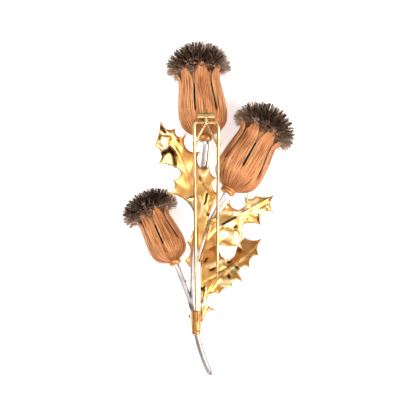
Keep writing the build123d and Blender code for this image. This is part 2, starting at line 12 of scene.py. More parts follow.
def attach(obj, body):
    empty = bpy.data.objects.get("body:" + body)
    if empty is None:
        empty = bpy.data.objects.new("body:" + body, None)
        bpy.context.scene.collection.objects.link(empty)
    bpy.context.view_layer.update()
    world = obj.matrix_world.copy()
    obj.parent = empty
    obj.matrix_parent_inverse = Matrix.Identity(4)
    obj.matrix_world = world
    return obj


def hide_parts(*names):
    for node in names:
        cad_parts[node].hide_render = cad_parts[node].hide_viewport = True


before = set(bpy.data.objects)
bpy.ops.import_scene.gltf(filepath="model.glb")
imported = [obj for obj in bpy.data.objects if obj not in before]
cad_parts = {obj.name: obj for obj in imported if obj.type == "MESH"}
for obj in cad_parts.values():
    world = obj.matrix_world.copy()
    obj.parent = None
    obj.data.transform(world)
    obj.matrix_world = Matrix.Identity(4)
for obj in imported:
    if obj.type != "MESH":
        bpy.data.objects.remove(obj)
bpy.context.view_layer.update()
scene = bpy.context.scene
mm = 0.001
print("frame loaded")


# Shared mesh helpers

def addPiece(name, points, faces, material, body, node, sharpAngle):
    mesh = bpy.data.meshes.new(name)
    mesh.from_pydata((np.asarray(points) * mm).tolist(), [], faces)
    mesh.validate()
    mesh.update()
    mesh.shade_smooth()
    mesh.set_sharp_from_angle(angle=math.radians(sharpAngle))
    piece = bpy.data.objects.new(name, mesh)
    scene.collection.objects.link(piece)
    mesh.materials.append(material)
    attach(piece, body)
    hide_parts(node)
    return piece


def pointMask(piece, name, values):
    mask = piece.data.attributes.new(name, "FLOAT", "POINT")
    mask.data.foreach_set("value", np.asarray(values, np.float32))


def gridFaces(rows, columns, start=0, closed=False):
    faces = []
    last = columns if closed else columns - 1
    for r in range(rows - 1):
        for c in range(last):
            a = start + r * columns + c
            b = start + r * columns + (c + 1) % columns
            faces.append((a, b, b + columns, a + columns))
    return faces


def unit(vector):
    vector = np.asarray(vector, float)
    return vector / np.linalg.norm(vector)


def turnFrames(path):
    # sideways and upward directions that follow a path without twisting
    path = np.asarray(path, float)
    travel = np.gradient(path, axis=0)
    travel /= np.linalg.norm(travel, axis=1)[:, None]
    side = np.cross(travel[0], (0.0, 0.0, 1.0))
    if np.linalg.norm(side) < 0.05:
        side = np.cross(travel[0], (1.0, 0.0, 0.0))
    sides = [unit(side)]
    for step in travel[1:]:
        side = sides[-1] - step * np.dot(sides[-1], step)
        sides.append(unit(side))
    sides = np.array(sides)
    return sides, np.cross(sides, travel)


def tube(path, radii, around):
    # swept tube with closed ends
    path = np.asarray(path, float)
    sides, ups = turnFrames(path)
    radii = np.broadcast_to(np.asarray(radii, float), (len(path),))
    angles = np.linspace(0, 2 * math.pi, around, endpoint=False)
    rings = path[:, None] + radii[:, None, None] * (
        sides[:, None] * np.cos(angles)[:, None] + ups[:, None] * np.sin(angles)[:, None])
    points = list(rings.reshape(-1, 3))
    faces = gridFaces(len(path), around, closed=True)
    faces.append(tuple(reversed(range(around))))
    faces.append(tuple(range((len(path) - 1) * around, len(path) * around)))
    return points, faces


def joined(parts):
    points, faces = [], []
    for partPoints, partFaces in parts:
        start = len(points)
        points += list(partPoints)
        faces += [tuple(start + i for i in face) for face in partFaces]
    return points, faces


def roundedRun(knots):
    # straight runs between knots with a rounded bend at each, as the part's own stems have
    knots = [np.asarray(knot, float) for knot in knots]
    line = [knots[0]]
    for before, here, after in zip(knots, knots[1:], knots[2:]):
        back, ahead = before - here, after - here
        shorter = min(np.linalg.norm(back), np.linalg.norm(ahead))
        turn = math.pi - math.acos(np.clip(np.dot(unit(back), unit(ahead)), -1, 1))
        cut = min(stemForm["bendShare"] * shorter, stemForm["largestBend"] * math.tan(turn / 2))
        start, end = here + unit(back) * cut, here + unit(ahead) * cut
        for t in np.linspace(0, 1, stemForm["bendSteps"]):
            line.append((1 - t)**2 * start + 2 * t * (1 - t) * here + t**2 * end)
    line.append(knots[-1])
    spaced = [line[0]]
    for point in line[1:]:
        gap = np.linalg.norm(point - spaced[-1])
        if gap < 1e-4:
            continue
        extra = int(gap / stemForm["spacing"])
        spaced += [spaced[-1] + (point - spaced[-1]) * k / (extra + 1) for k in range(1, extra + 1)]
        spaced.append(point)
    return np.array(spaced)


# Shader groups

def newGroup(name, inputs, outputs):
    group = bpy.data.node_groups.new(name, "ShaderNodeTree")
    for socketName, kind, value in inputs:
        socket = group.interface.new_socket(socketName, in_out="INPUT", socket_type=kind)
        if value is not None:
            socket.default_value = value
    for socketName, kind in outputs:
        group.interface.new_socket(socketName, in_out="OUTPUT", socket_type=kind)
    nodes = group.nodes
    return group, nodes, group.links, nodes.new("NodeGroupInput"), nodes.new("NodeGroupOutput")


def mathNode(nodes, links, operation, first, second):
    node = nodes.new("ShaderNodeMath")
    node.operation = operation
    for index, value in enumerate((first, second)):
        if isinstance(value, (int, float)):
            node.inputs[index].default_value = value
        else:
            links.new(value, node.inputs[index])
    return node.outputs[0]


finishForm = dict(scale=350.0, softDetail=1.0, softRoughness=0.3, fineDetail=4.0, fineRatio=7.0,
                  bumpDepth=0.0004, fineDepth=0.00006, mottleLow=0.35, mottleHigh=0.65,
                  grainLow=0.3, grainHigh=0.7,
                  polishedShare=0.8, dullShare=1.25)


def buildHandFinish():
    # uneven polish of hand-worked metal: a soft mottle, fine scratches and a bump normal
    group, nodes, links, source, out = newGroup(
        "handFinish",
        [("Scale", "NodeSocketFloat", 400.0), ("Bump", "NodeSocketFloat", 0.1),
         ("Fine Bump", "NodeSocketFloat", 0.05)],
        [("Mottle", "NodeSocketFloat"), ("Grain", "NodeSocketFloat"), ("Normal", "NodeSocketVector")])
    place = nodes.new("ShaderNodeTexCoord")
    soft = nodes.new("ShaderNodeTexNoise")
    soft.inputs["Detail"].default_value = finishForm["softDetail"]
    soft.inputs["Roughness"].default_value = finishForm["softRoughness"]
    links.new(place.outputs["Object"], soft.inputs["Vector"])
    links.new(source.outputs["Scale"], soft.inputs["Scale"])
    fine = nodes.new("ShaderNodeTexNoise")
    fine.inputs["Detail"].default_value = finishForm["fineDetail"]
    links.new(place.outputs["Object"], fine.inputs["Vector"])
    links.new(mathNode(nodes, links, "MULTIPLY", source.outputs["Scale"], finishForm["fineRatio"]),
              fine.inputs["Scale"])
    first = nodes.new("ShaderNodeBump")
    first.inputs["Distance"].default_value = finishForm["bumpDepth"]
    links.new(source.outputs["Bump"], first.inputs["Strength"])
    links.new(soft.outputs["Fac"], first.inputs["Height"])
    second = nodes.new("ShaderNodeBump")
    second.inputs["Distance"].default_value = finishForm["fineDepth"]
    links.new(source.outputs["Fine Bump"], second.inputs["Strength"])
    links.new(fine.outputs["Fac"], second.inputs["Height"])
    links.new(first.outputs["Normal"], second.inputs["Normal"])
    links.new(soft.outputs["Fac"], out.inputs["Mottle"])
    links.new(fine.outputs["Fac"], out.inputs["Grain"])
    links.new(second.outputs["Normal"], out.inputs["Normal"])
    return group


engravingForm = dict(detail=3.0, roughness=0.55, distortion=0.12, broadScale=0.28, broadDetail=2.0,
                     depth=0.00022)


def buildEngraving():
    # lines engraved along a sepal, read from its own flat layout
    group, nodes, links, source, out = newGroup(
        "engravedLines",
        [("Across", "NodeSocketFloat", 6.0), ("Along", "NodeSocketFloat", 0.2),
         ("Strength", "NodeSocketFloat", 1.0)],
        [("Lines", "NodeSocketFloat"), ("Tone", "NodeSocketFloat"), ("Normal", "NodeSocketVector")])
    layout = nodes.new("ShaderNodeUVMap")
    layout.uv_map = "sepalLayout"
    stretch = nodes.new("ShaderNodeCombineXYZ")
    links.new(source.outputs["Across"], stretch.inputs["X"])
    links.new(source.outputs["Along"], stretch.inputs["Y"])
    scaled = nodes.new("ShaderNodeVectorMath")
    scaled.operation = "MULTIPLY"
    links.new(layout.outputs["UV"], scaled.inputs[0])
    links.new(stretch.outputs["Vector"], scaled.inputs[1])
    lines = nodes.new("ShaderNodeTexNoise")
    lines.inputs["Scale"].default_value = 1.0
    lines.inputs["Detail"].default_value = engravingForm["detail"]
    lines.inputs["Roughness"].default_value = engravingForm["roughness"]
    lines.inputs["Distortion"].default_value = engravingForm["distortion"]
    links.new(scaled.outputs["Vector"], lines.inputs["Vector"])
    broad = nodes.new("ShaderNodeTexNoise")
    broad.inputs["Scale"].default_value = engravingForm["broadScale"]
    broad.inputs["Detail"].default_value = engravingForm["broadDetail"]
    links.new(scaled.outputs["Vector"], broad.inputs["Vector"])
    bump = nodes.new("ShaderNodeBump")
    bump.inputs["Distance"].default_value = engravingForm["depth"]
    links.new(source.outputs["Strength"], bump.inputs["Strength"])
    links.new(lines.outputs["Fac"], bump.inputs["Height"])
    links.new(lines.outputs["Fac"], out.inputs["Lines"])
    links.new(broad.outputs["Fac"], out.inputs["Tone"])
    links.new(bump.outputs["Normal"], out.inputs["Normal"])
    return group


handFinish = buildHandFinish()
engravedLines = buildEngraving()


# Materials

def newMaterial(name):
    material = bpy.data.materials.new(name)
    material.use_nodes = True
    nodes, links = material.node_tree.nodes, material.node_tree.links
    return material, nodes, links, nodes["Principled BSDF"]


def placeGroup(nodes, group, values):
    node = nodes.new("ShaderNodeGroup")
    node.node_tree = group
    for name, value in values.items():
        node.inputs[name].default_value = value
    return node


def colourRamp(nodes, links, factor, stops):
    ramp = nodes.new("ShaderNodeValToRGB")
    band = ramp.color_ramp
    while len(band.elements) < len(stops):
        band.elements.new(0.5)
    for element, (place, colour) in zip(band.elements, stops):
        element.position = place
        element.color = (*colour, 1.0)
    links.new(factor, ramp.inputs["Fac"])
    return ramp.outputs["Color"]


def mixColour(nodes, links, factor, first, second):
    mix = nodes.new("ShaderNodeMix")
    mix.data_type = "RGBA"
    for socket, value in ((mix.inputs[0], factor), (mix.inputs[6], first), (mix.inputs[7], second)):
        if isinstance(value, (int, float)):
            socket.default_value = value
        elif isinstance(value, tuple):
            socket.default_value = (*value, 1.0)
        else:
            links.new(value, socket)
    return mix.outputs[2]


def mapRange(nodes, links, value, low, high, newLow, newHigh):
    node = nodes.new("ShaderNodeMapRange")
    node.inputs["From Min"].default_value = low
    node.inputs["From Max"].default_value = high
    node.inputs["To Min"].default_value = newLow
    node.inputs["To Max"].default_value = newHigh
    links.new(value, node.inputs["Value"])
    return node.outputs["Result"]


def maskNode(nodes, name):
    node = nodes.new("ShaderNodeAttribute")
    node.attribute_name = name
    return node.outputs["Fac"]


def metal(name, dark, light, roughness, bump, fineBump, patina=None, paintedHighlightTone=None):
    # plain worked metal: two tones over a mottle, uneven polish, with painted shade and painted highlights
    # mixed into the colour
    material, nodes, links, shader = newMaterial(name)
    finish = placeGroup(nodes, handFinish,
                        {"Scale": finishForm["scale"], "Bump": bump, "Fine Bump": fineBump})
    colour = colourRamp(nodes, links, finish.outputs["Mottle"],
                        [(finishForm["mottleLow"], dark), (finishForm["mottleHigh"], light)])
    # painted highlight: the mask mixes the colour towards a pale cream tone
    if paintedHighlightTone:
        colour = mixColour(nodes, links, maskNode(nodes, "paintedHighlight"), colour, paintedHighlightTone)
    # painted shade: the mask darkens the colour where shade and dark reflections fall
    if patina:
        colour = mixColour(nodes, links, maskNode(nodes, "paintedShade"), colour, patina)
    links.new(colour, shader.inputs["Base Color"])
    shader.inputs["Metallic"].default_value = 1.0
    links.new(mapRange(nodes, links, finish.outputs["Grain"], finishForm["grainLow"], finishForm["grainHigh"],
                       roughness * finishForm["polishedShare"], roughness * finishForm["dullShare"]),
              shader.inputs["Roughness"])
    links.new(finish.outputs["Normal"], shader.inputs["Normal"])
    return material


metalTones = dict(
    # leafGold: the near-black tone is painted shade, the cream tone a painted highlight
    leafGold=dict(dark=(0.66, 0.31, 0.085), light=(0.84, 0.47, 0.16), roughness=0.33,
                  bump=0.04, fineBump=0.0, patina=(0.030, 0.016, 0.006), paintedHighlightTone=(1.0, 0.84, 0.47)),
    pinGold=dict(dark=(0.58, 0.37, 0.16), light=(0.74, 0.52, 0.27), roughness=0.20, bump=0.05, fineBump=0.05),
    collarGold=dict(dark=(0.50, 0.22, 0.075), light=(0.66, 0.33, 0.13), roughness=0.46,
                    bump=0.10, fineBump=0.1),
    catchGold=dict(dark=(0.46, 0.215, 0.062), light=(0.58, 0.31, 0.11), roughness=0.42,
                   bump=0.08, fineBump=0.2),
    # stemSilver: the dark grey tone is painted shade
    stemSilver=dict(dark=(0.60, 0.55, 0.55), light=(0.82, 0.77, 0.77), roughness=0.34,
                    bump=0.20, fineBump=0.3, patina=(0.12, 0.105, 0.105)),
)
looks = {name: metal(name, **tones) for name, tones in metalTones.items()}


sepalTones = dict(
    lines={"Across": 6.5, "Along": 0.15, "Strength": 1.0},
    body=[(0.30, (0.55, 0.22, 0.080)), (0.50, (0.72, 0.33, 0.14)), (0.72, (0.86, 0.46, 0.235))],
    # the pale rim tone is a painted highlight, the dark inside tone painted shade
    cut=(0.24, 0.080, 0.028), cutFull=0.42, cutNone=0.53, rimHighlight=(0.93, 0.62, 0.36), inside=(0.16, 0.055, 0.025),
    cutRoughness=0.66, crestRoughness=0.54,
)


def buildSepalGold():
    material, nodes, links, shader = newMaterial("sepalGold")
    lines = placeGroup(nodes, engravedLines, sepalTones["lines"])
    body = colourRamp(nodes, links, lines.outputs["Tone"], sepalTones["body"])
    cut = mapRange(nodes, links, lines.outputs["Lines"],
                   sepalTones["cutFull"], sepalTones["cutNone"], 1.0, 0.0)
    lined = mixColour(nodes, links, cut, body, sepalTones["cut"])
    # painted highlight on the rims
    rimHighlight = mixColour(nodes, links, maskNode(nodes, "rimHighlight"), lined, sepalTones["rimHighlight"])
    # painted shade on the inner faces and the whorl
    inside = mixColour(nodes, links, maskNode(nodes, "inside"), rimHighlight, sepalTones["inside"])
    links.new(inside, shader.inputs["Base Color"])
    shader.inputs["Metallic"].default_value = 1.0
    links.new(mapRange(nodes, links, lines.outputs["Lines"], finishForm["grainLow"], finishForm["grainHigh"],
                       sepalTones["cutRoughness"], sepalTones["crestRoughness"]), shader.inputs["Roughness"])
    links.new(lines.outputs["Normal"], shader.inputs["Normal"])
    return material


bristleTones = dict(root=(0.025, 0.014, 0.009), dark=(0.050, 0.027, 0.016), pale=(0.72, 0.53, 0.42),
                    litFrom=0.35, litAll=0.85, roughness=0.38)


def buildBristleSilver():
    # roots painted dark as shade deep in the tuft, tips in tones from dark to pale
    material, nodes, links, shader = newMaterial("bristleSilver")
    tip = mixColour(nodes, links, maskNode(nodes, "shade"), bristleTones["dark"], bristleTones["pale"])
    lit = mapRange(nodes, links, maskNode(nodes, "along"),
                   bristleTones["litFrom"], bristleTones["litAll"], 0.0, 1.0)
    colour = mixColour(nodes, links, lit, bristleTones["root"], tip)
    links.new(colour, shader.inputs["Base Color"])
    shader.inputs["Metallic"].default_value = 1.0
    shader.inputs["Roughness"].default_value = bristleTones["roughness"]
    return material


sepalGold = buildSepalGold()
bristleSilver = buildBristleSilver()
print("materials made")


# Flower heads: turn is the lean from +Y towards +X in degrees, nod the dip to the front

heads = dict(
    top=dict(x=-0.47, y=21.08, turn=-5.6, slit=-16.8, size=1.0, tuftRadius=9.9, tuftHeight=31.4, seed=3),
    right=dict(x=6.08, y=4.96, turn=30.1, slit=0.0, size=1.0, tuftRadius=9.9, tuftHeight=31.4, seed=11),
    left=dict(x=-9.67, y=-17.17, turn=-25.7, slit=-6.5, size=0.78, tuftRadius=8.9, tuftHeight=25.2, seed=23),
)
headShape = dict(nod=12.0, widest=0.745, calyxRadius=7.65, calyxHeight=23.2, wall=0.55, sepals=7,
                 tipShifts=(0.015, -0.01, 0.0, 0.02, -0.015, 0.01, 0.0),
                 tipBends=(0.02, 0.06, 0.03, 0.09, 0.02, 0.07, 0.04))

# wall of the calyx: share of its radius at each share of its height
calyxWall = dict(
    up=(0.060, 0.085, 0.128, 0.224, 0.366, 0.526, 0.681, 0.819, 0.905, 1.000, 1.050),
    out=(0.200, 0.400, 0.700, 0.925, 1.000, 0.954, 0.878, 0.824, 0.860, 0.985, 1.080),
    soften=0.035, samples=9,
)
sepalCut = dict(foot=0.065, slit=0.33, slitFoot=0.33, shoulder=0.715, crown=0.034, ribs=0.0055, ribCount=2.6,
                across=17, along=46, shade=0.0)
whorlCut = dict(foot=0.74, slit=0.0, slitFoot=0.0, shoulder=0.84, tip=1.095, inset=0.85, width=0.60,
                bend=0.05, crown=0.03, ribs=0.0, ribCount=1.0, across=13, along=26, shade=0.12)
sepalForm = dict(slitLead=0.05, tipRound=1.7, tipPoint=1.15, rowSpacing=0.92, freeOver=0.3, edgeRoll=0.030,
                 bendFrom=0.86, wave=0.012, waveUp=7, waveTurn=3, layoutShift=37.0,
                 rimFrom=0.80, rimOver=0.16, rimFoot=0.38, rimFade=0.2, tipRim=0.05, tipRimOver=0.04,
                 tipRimTone=0.8, rimTone=0.55, innerRim=0.3, edgeFrom=0.55, edgeShade=2.2, innerShade=0.85)


def headFrame(head):
    turn, nod = math.radians(head["turn"]), math.radians(headShape["nod"])
    axis = np.array((math.sin(turn) * math.cos(nod), math.cos(turn) * math.cos(nod), -math.sin(nod)))
    right = np.array((math.cos(turn), -math.sin(turn), 0.0))
    back = np.cross(right, axis)
    footZ = headShape["widest"] * head["tuftHeight"] * math.sin(nod) + head["tuftRadius"] * math.cos(nod)
    return np.array((head["x"], head["y"], footZ)), axis, right, back


def smoothWall(up):
    # radius share at a height share, rounded between the rows
    rows = np.array(calyxWall["up"])
    outs = np.array(calyxWall["out"])
    spread = np.linspace(-calyxWall["soften"], calyxWall["soften"], calyxWall["samples"])
    fine = np.interp(np.clip(up[..., None] + spread, rows[0], rows[-1]), rows, outs)
    return fine.mean(axis=-1)


def sepalWidth(up, foot, shoulder, tip, halfSlit):
    # share of the full half angle that a sepal keeps at a height share
    body = 1.0 - halfSlit * np.clip((up - foot) / sepalForm["slitLead"], 0, 1)
    t = np.clip((up - shoulder) / (tip - shoulder), 0, 1)
    return body * np.sqrt(np.clip(1 - t ** sepalForm["tipRound"], 0, 1)) ** sepalForm["tipPoint"]


def sepalSheet(head, centre, cut, tip, inset, widthShare, bend):
    # one sepal: its outer face, inner face and rim as one closed sheet
    size = head["size"]
    radius, height = headShape["calyxRadius"] * size, headShape["calyxHeight"] * size
    origin, axis, right, back = headFrame(head)
    half = math.pi / headShape["sepals"]
    across, along, foot, form = cut["across"], cut["along"], cut["foot"], sepalForm
    ups = foot + (tip - foot) * np.linspace(0, 1, along) ** form["rowSpacing"]
    slitShare = cut["slit"] / (radius * half)
    widths = sepalWidth(ups, cut["slitFoot"], cut["shoulder"], tip, slitShare) * widthShare
    u = np.linspace(-1, 1, across)
    upGrid = np.repeat(ups[:, None], across, axis=1)
    uGrid = np.repeat(u[None, :], along, axis=0)
    angle = centre + half * uGrid * widths[:, None]
    free = np.clip((upGrid - cut["slitFoot"]) / form["freeOver"], 0, 1)
    crown = cut["crown"] * (1 - uGrid**2) * free
    ribs = cut["ribs"] * np.cos(uGrid * math.pi * cut["ribCount"])
    out = smoothWall(upGrid) * inset + crown + ribs - form["edgeRoll"] * free * np.abs(uGrid) ** 6
    out = out + bend * np.clip((upGrid - form["bendFrom"]) / (tip - form["bendFrom"]), 0, 1) ** 2
    wave = form["wave"] * np.sin(form["waveUp"] * upGrid + form["waveTurn"] * centre) * free

    def place(outShare, shift):
        r = (outShare + wave) * radius - shift
        direction = np.sin(angle)[..., None] * right + np.cos(angle)[..., None] * back
        return origin + axis * (upGrid * height)[..., None] + direction * r[..., None]

    outer = place(out, 0.0)
    inner = place(out, headShape["wall"] * size)
    points = np.vstack([outer.reshape(-1, 3), inner.reshape(-1, 3)])
    count = along * across
    faces = [tuple(reversed(face)) for face in gridFaces(along, across)]
    faces += gridFaces(along, across, start=count)
    edge = [r * across for r in range(along)]
    other = [r * across + across - 1 for r in range(along)]
    low = list(range(across))
    high = [(along - 1) * across + c for c in range(across)]
    for border, flip in ((edge, True), (other, False), (low, False), (high, True)):
        for a, b in zip(border, border[1:]):
            face = (a, b, b + count, a + count)
            faces.append(tuple(reversed(face)) if flip else face)
    acrossSheet = uGrid * widths[:, None] * half * radius + centre * form["layoutShift"]
    layout = np.stack([acrossSheet, upGrid * height], axis=-1)
    # painted highlight along the side rims of the upper sepals and at their tips, fainter on the inner face
    rimHighlight = (np.clip((np.abs(uGrid) - form["rimFrom"]) / form["rimOver"], 0, 1)
           * np.clip((upGrid - form["rimFoot"]) / form["rimFade"], 0, 1))
    nearTip = np.clip((upGrid - (tip - form["tipRim"])) / form["tipRimOver"], 0, 1)
    rimHighlight = np.maximum(rimHighlight, nearTip * form["tipRimTone"]).ravel()
    # painted shade: the whorl darkened overall and more towards its edges, and the inner faces darker still,
    # as shade inside and between the sepals
    nearEdge = np.clip((np.abs(uGrid) - form["edgeFrom"]) / (1 - form["edgeFrom"]), 0, 1)
    deep = nearEdge * cut["shade"] * form["edgeShade"] + cut["shade"]
    masks = dict(
        rimHighlight=np.concatenate([rimHighlight * form["rimTone"] * (1 - 2 * cut["shade"]), rimHighlight * form["innerRim"]]),
        inside=np.concatenate([deep.ravel(), np.full(count, form["innerShade"])]))
    return points, faces, np.concatenate([layout.reshape(-1, 2)] * 2), masks


def buildCalyx(name, head, node):
    # sepals with a narrower whorl inside, behind the slits
    sheets = []
    step = 2 * math.pi / headShape["sepals"]
    start = math.radians(head["slit"])
    for k in range(headShape["sepals"]):
        shift, bend = (headShape[row][k % len(headShape[row])] for row in ("tipShifts", "tipBends"))
        sheets.append(sepalSheet(head, start + (k + 0.5) * step, sepalCut, 1.0 + shift, 1.0, 1.0, bend))
        sheets.append(sepalSheet(head, start + k * step, whorlCut, whorlCut["tip"] - shift, whorlCut["inset"],
                                 whorlCut["width"], whorlCut["bend"]))
    points, faces = joined([(sheet[0], sheet[1]) for sheet in sheets])
    piece = addPiece(name, points, faces, sepalGold, "brooch", node, 50.0)
    layout = np.concatenate([sheet[2] for sheet in sheets])
    uv = piece.data.uv_layers.new(name="sepalLayout")
    corners = np.empty(len(piece.data.loops), int)
    piece.data.loops.foreach_get("vertex_index", corners)
    uv.data.foreach_set("uv", layout[corners].astype(np.float32).ravel())
    for mask in ("rimHighlight", "inside"):
        pointMask(piece, mask, np.concatenate([sheet[3][mask] for sheet in sheets]))
    return piece


calyxes = [buildCalyx(side + "Calyx", head, side + "_calyx") for side, head in heads.items()]
print("calyxes made")


# Bristle tufts: single wires that rise from the calyx and bend out to a rounded head

bristles = dict(count=1900, smallShare=0.82, rings=10, around=4, radius=0.125, tipRadius=0.10, thinnest=0.85,
                thicker=0.3, start=0.60, neck=0.54, spread=106.0, crowding=1.15, turnJitter=0.10,
                spreadJitter=0.06, longest=1.045, spareLength=0.26, shortDrop=1.0, lowerShare=0.9,
                rootShare=0.9, bendShare=1.02,
                bendReach=0.10, bendRise=0.6, locks=320, gather=0.45, swingPower=1.5,
                paleFrom=0.72, palest=1.0, darkening=1.8, leastPale=0.45)


def facingOut(phi, turn):
    return np.stack([np.sin(phi) * np.sin(turn), np.sin(phi) * np.cos(turn), np.cos(phi)], axis=1)


def curved(start, bend, end, t):
    return (1 - t)**2 * start[:, None] + 2 * t * (1 - t) * bend[:, None] + t**2 * end[:, None]


def buildTuft(name, head, node):
    origin, axis, right, back = headFrame(head)
    rng = np.random.default_rng(head["seed"])
    size, radius, height, form = head["size"], head["tuftRadius"], head["tuftHeight"], bristles
    count = int(form["count"] * (1.0 if size == 1.0 else form["smallShare"]))
    golden = math.pi * (3 - math.sqrt(5))
    share = np.sqrt((np.arange(count) + 0.5) / count)
    turn = np.arange(count) * golden + rng.normal(0, form["turnJitter"], count)
    phi = np.radians(form["spread"]) * share ** form["crowding"]
    phi = phi + rng.normal(0, form["spreadJitter"], count)

    # the ends gather in locks: each leans towards the middle of the nearest one
    lockShare = np.sqrt((np.arange(form["locks"]) + 0.5) / form["locks"])
    lockPhi = np.radians(form["spread"]) * lockShare ** form["crowding"]
    lockTurn = np.arange(form["locks"]) * golden + rng.normal(0, form["turnJitter"], form["locks"])
    facing, lockFacing = facingOut(phi, turn), facingOut(lockPhi, lockTurn)
    nearest = np.argmax(facing @ lockFacing.T, axis=1)
    facing += form["gather"] * (lockFacing[nearest] - facing)
    facing /= np.linalg.norm(facing, axis=1)[:, None]
    phi = np.arccos(np.clip(facing[:, 2], -1, 1))
    lockedTurn = np.arctan2(facing[:, 0], facing[:, 1])
    swing = (lockedTurn - turn + math.pi) % (2 * math.pi) - math.pi

    # each wire is one curve from inside the calyx, over the bend at its mouth, to the head's surface
    length = form["longest"] - form["spareLength"] * rng.random(count) ** 2.0
    middle = headShape["widest"] * height
    flat = height - middle
    rise = np.where(np.cos(phi) > 0, flat, flat * form["lowerShare"]) * np.cos(phi)
    endOut = radius * np.sin(phi) * length
    endUp = middle + rise * length - form["shortDrop"] * (1 - length)
    neckRadius = form["neck"] * headShape["calyxRadius"] * size
    startOut = neckRadius * share * form["rootShare"]
    startUp = form["start"] * headShape["calyxHeight"] * size * np.ones(count)
    bendOut = neckRadius * share * form["bendShare"] + form["bendReach"] * endOut
    bendUp = middle + form["bendRise"] + form["bendReach"] * flat * (1 - share)
    t = np.linspace(0, 1, form["rings"])[None, :]
    out, up = curved(startOut, bendOut, endOut, t), curved(startUp, bendUp, endUp, t)
    swing = swing + rng.normal(0, form["spreadJitter"], count)
    twist = turn[:, None] + swing[:, None] * t ** form["swingPower"]
    direction = np.sin(twist)[..., None] * right + np.cos(twist)[..., None] * back
    path = origin + axis * up[..., None] + direction * out[..., None]

    travel = np.gradient(path, axis=1)
    travel /= np.linalg.norm(travel, axis=2)[..., None]
    side = np.cross(travel, axis + 0.01 * right)
    side /= np.linalg.norm(side, axis=2)[..., None]
    lift = np.cross(side, travel)
    wire = form["radius"] + (form["tipRadius"] - form["radius"]) * t
    wire = wire * (form["thinnest"] + form["thicker"] * rng.random((count, 1)))
    around, rings = form["around"], form["rings"]
    angles = (np.arange(around) + 0.5) * 2 * math.pi / around
    ring = (side[:, :, None] * np.cos(angles)[:, None] + lift[:, :, None] * np.sin(angles)[:, None])
    points = path[:, :, None] + ring * wire[:, :, None, None]
    stride = rings * around
    base = [tuple(reversed(face)) for face in gridFaces(rings, around, closed=True)]
    base.append(tuple(range((rings - 1) * around, rings * around)))
    faces = (np.arange(count)[:, None, None] * stride + np.array(base)[None]).reshape(-1, 4).tolist()
    piece = addPiece(name, points.reshape(-1, 3), faces, bristleSilver, "brooch", node, 60.0)

    # the outer wires painted pale as if lit where they face the camera, the others a random tone
    outer = np.clip((share - form["paleFrom"]) / (1 - form["paleFrom"]), 0, 1)
    inner = rng.random(count) ** form["darkening"] * (1 - outer)
    pale = outer * form["palest"] * (form["leastPale"] + (1 - form["leastPale"]) * rng.random(count))
    pointMask(piece, "shade", np.repeat(inner + pale, stride))
    pointMask(piece, "along", np.tile(np.repeat(np.linspace(0, 1, rings), around), count))
    return piece


tufts = [buildTuft(side + "Tuft", head, side + "_tuft") for side, head in heads.items()]
print("tufts made")
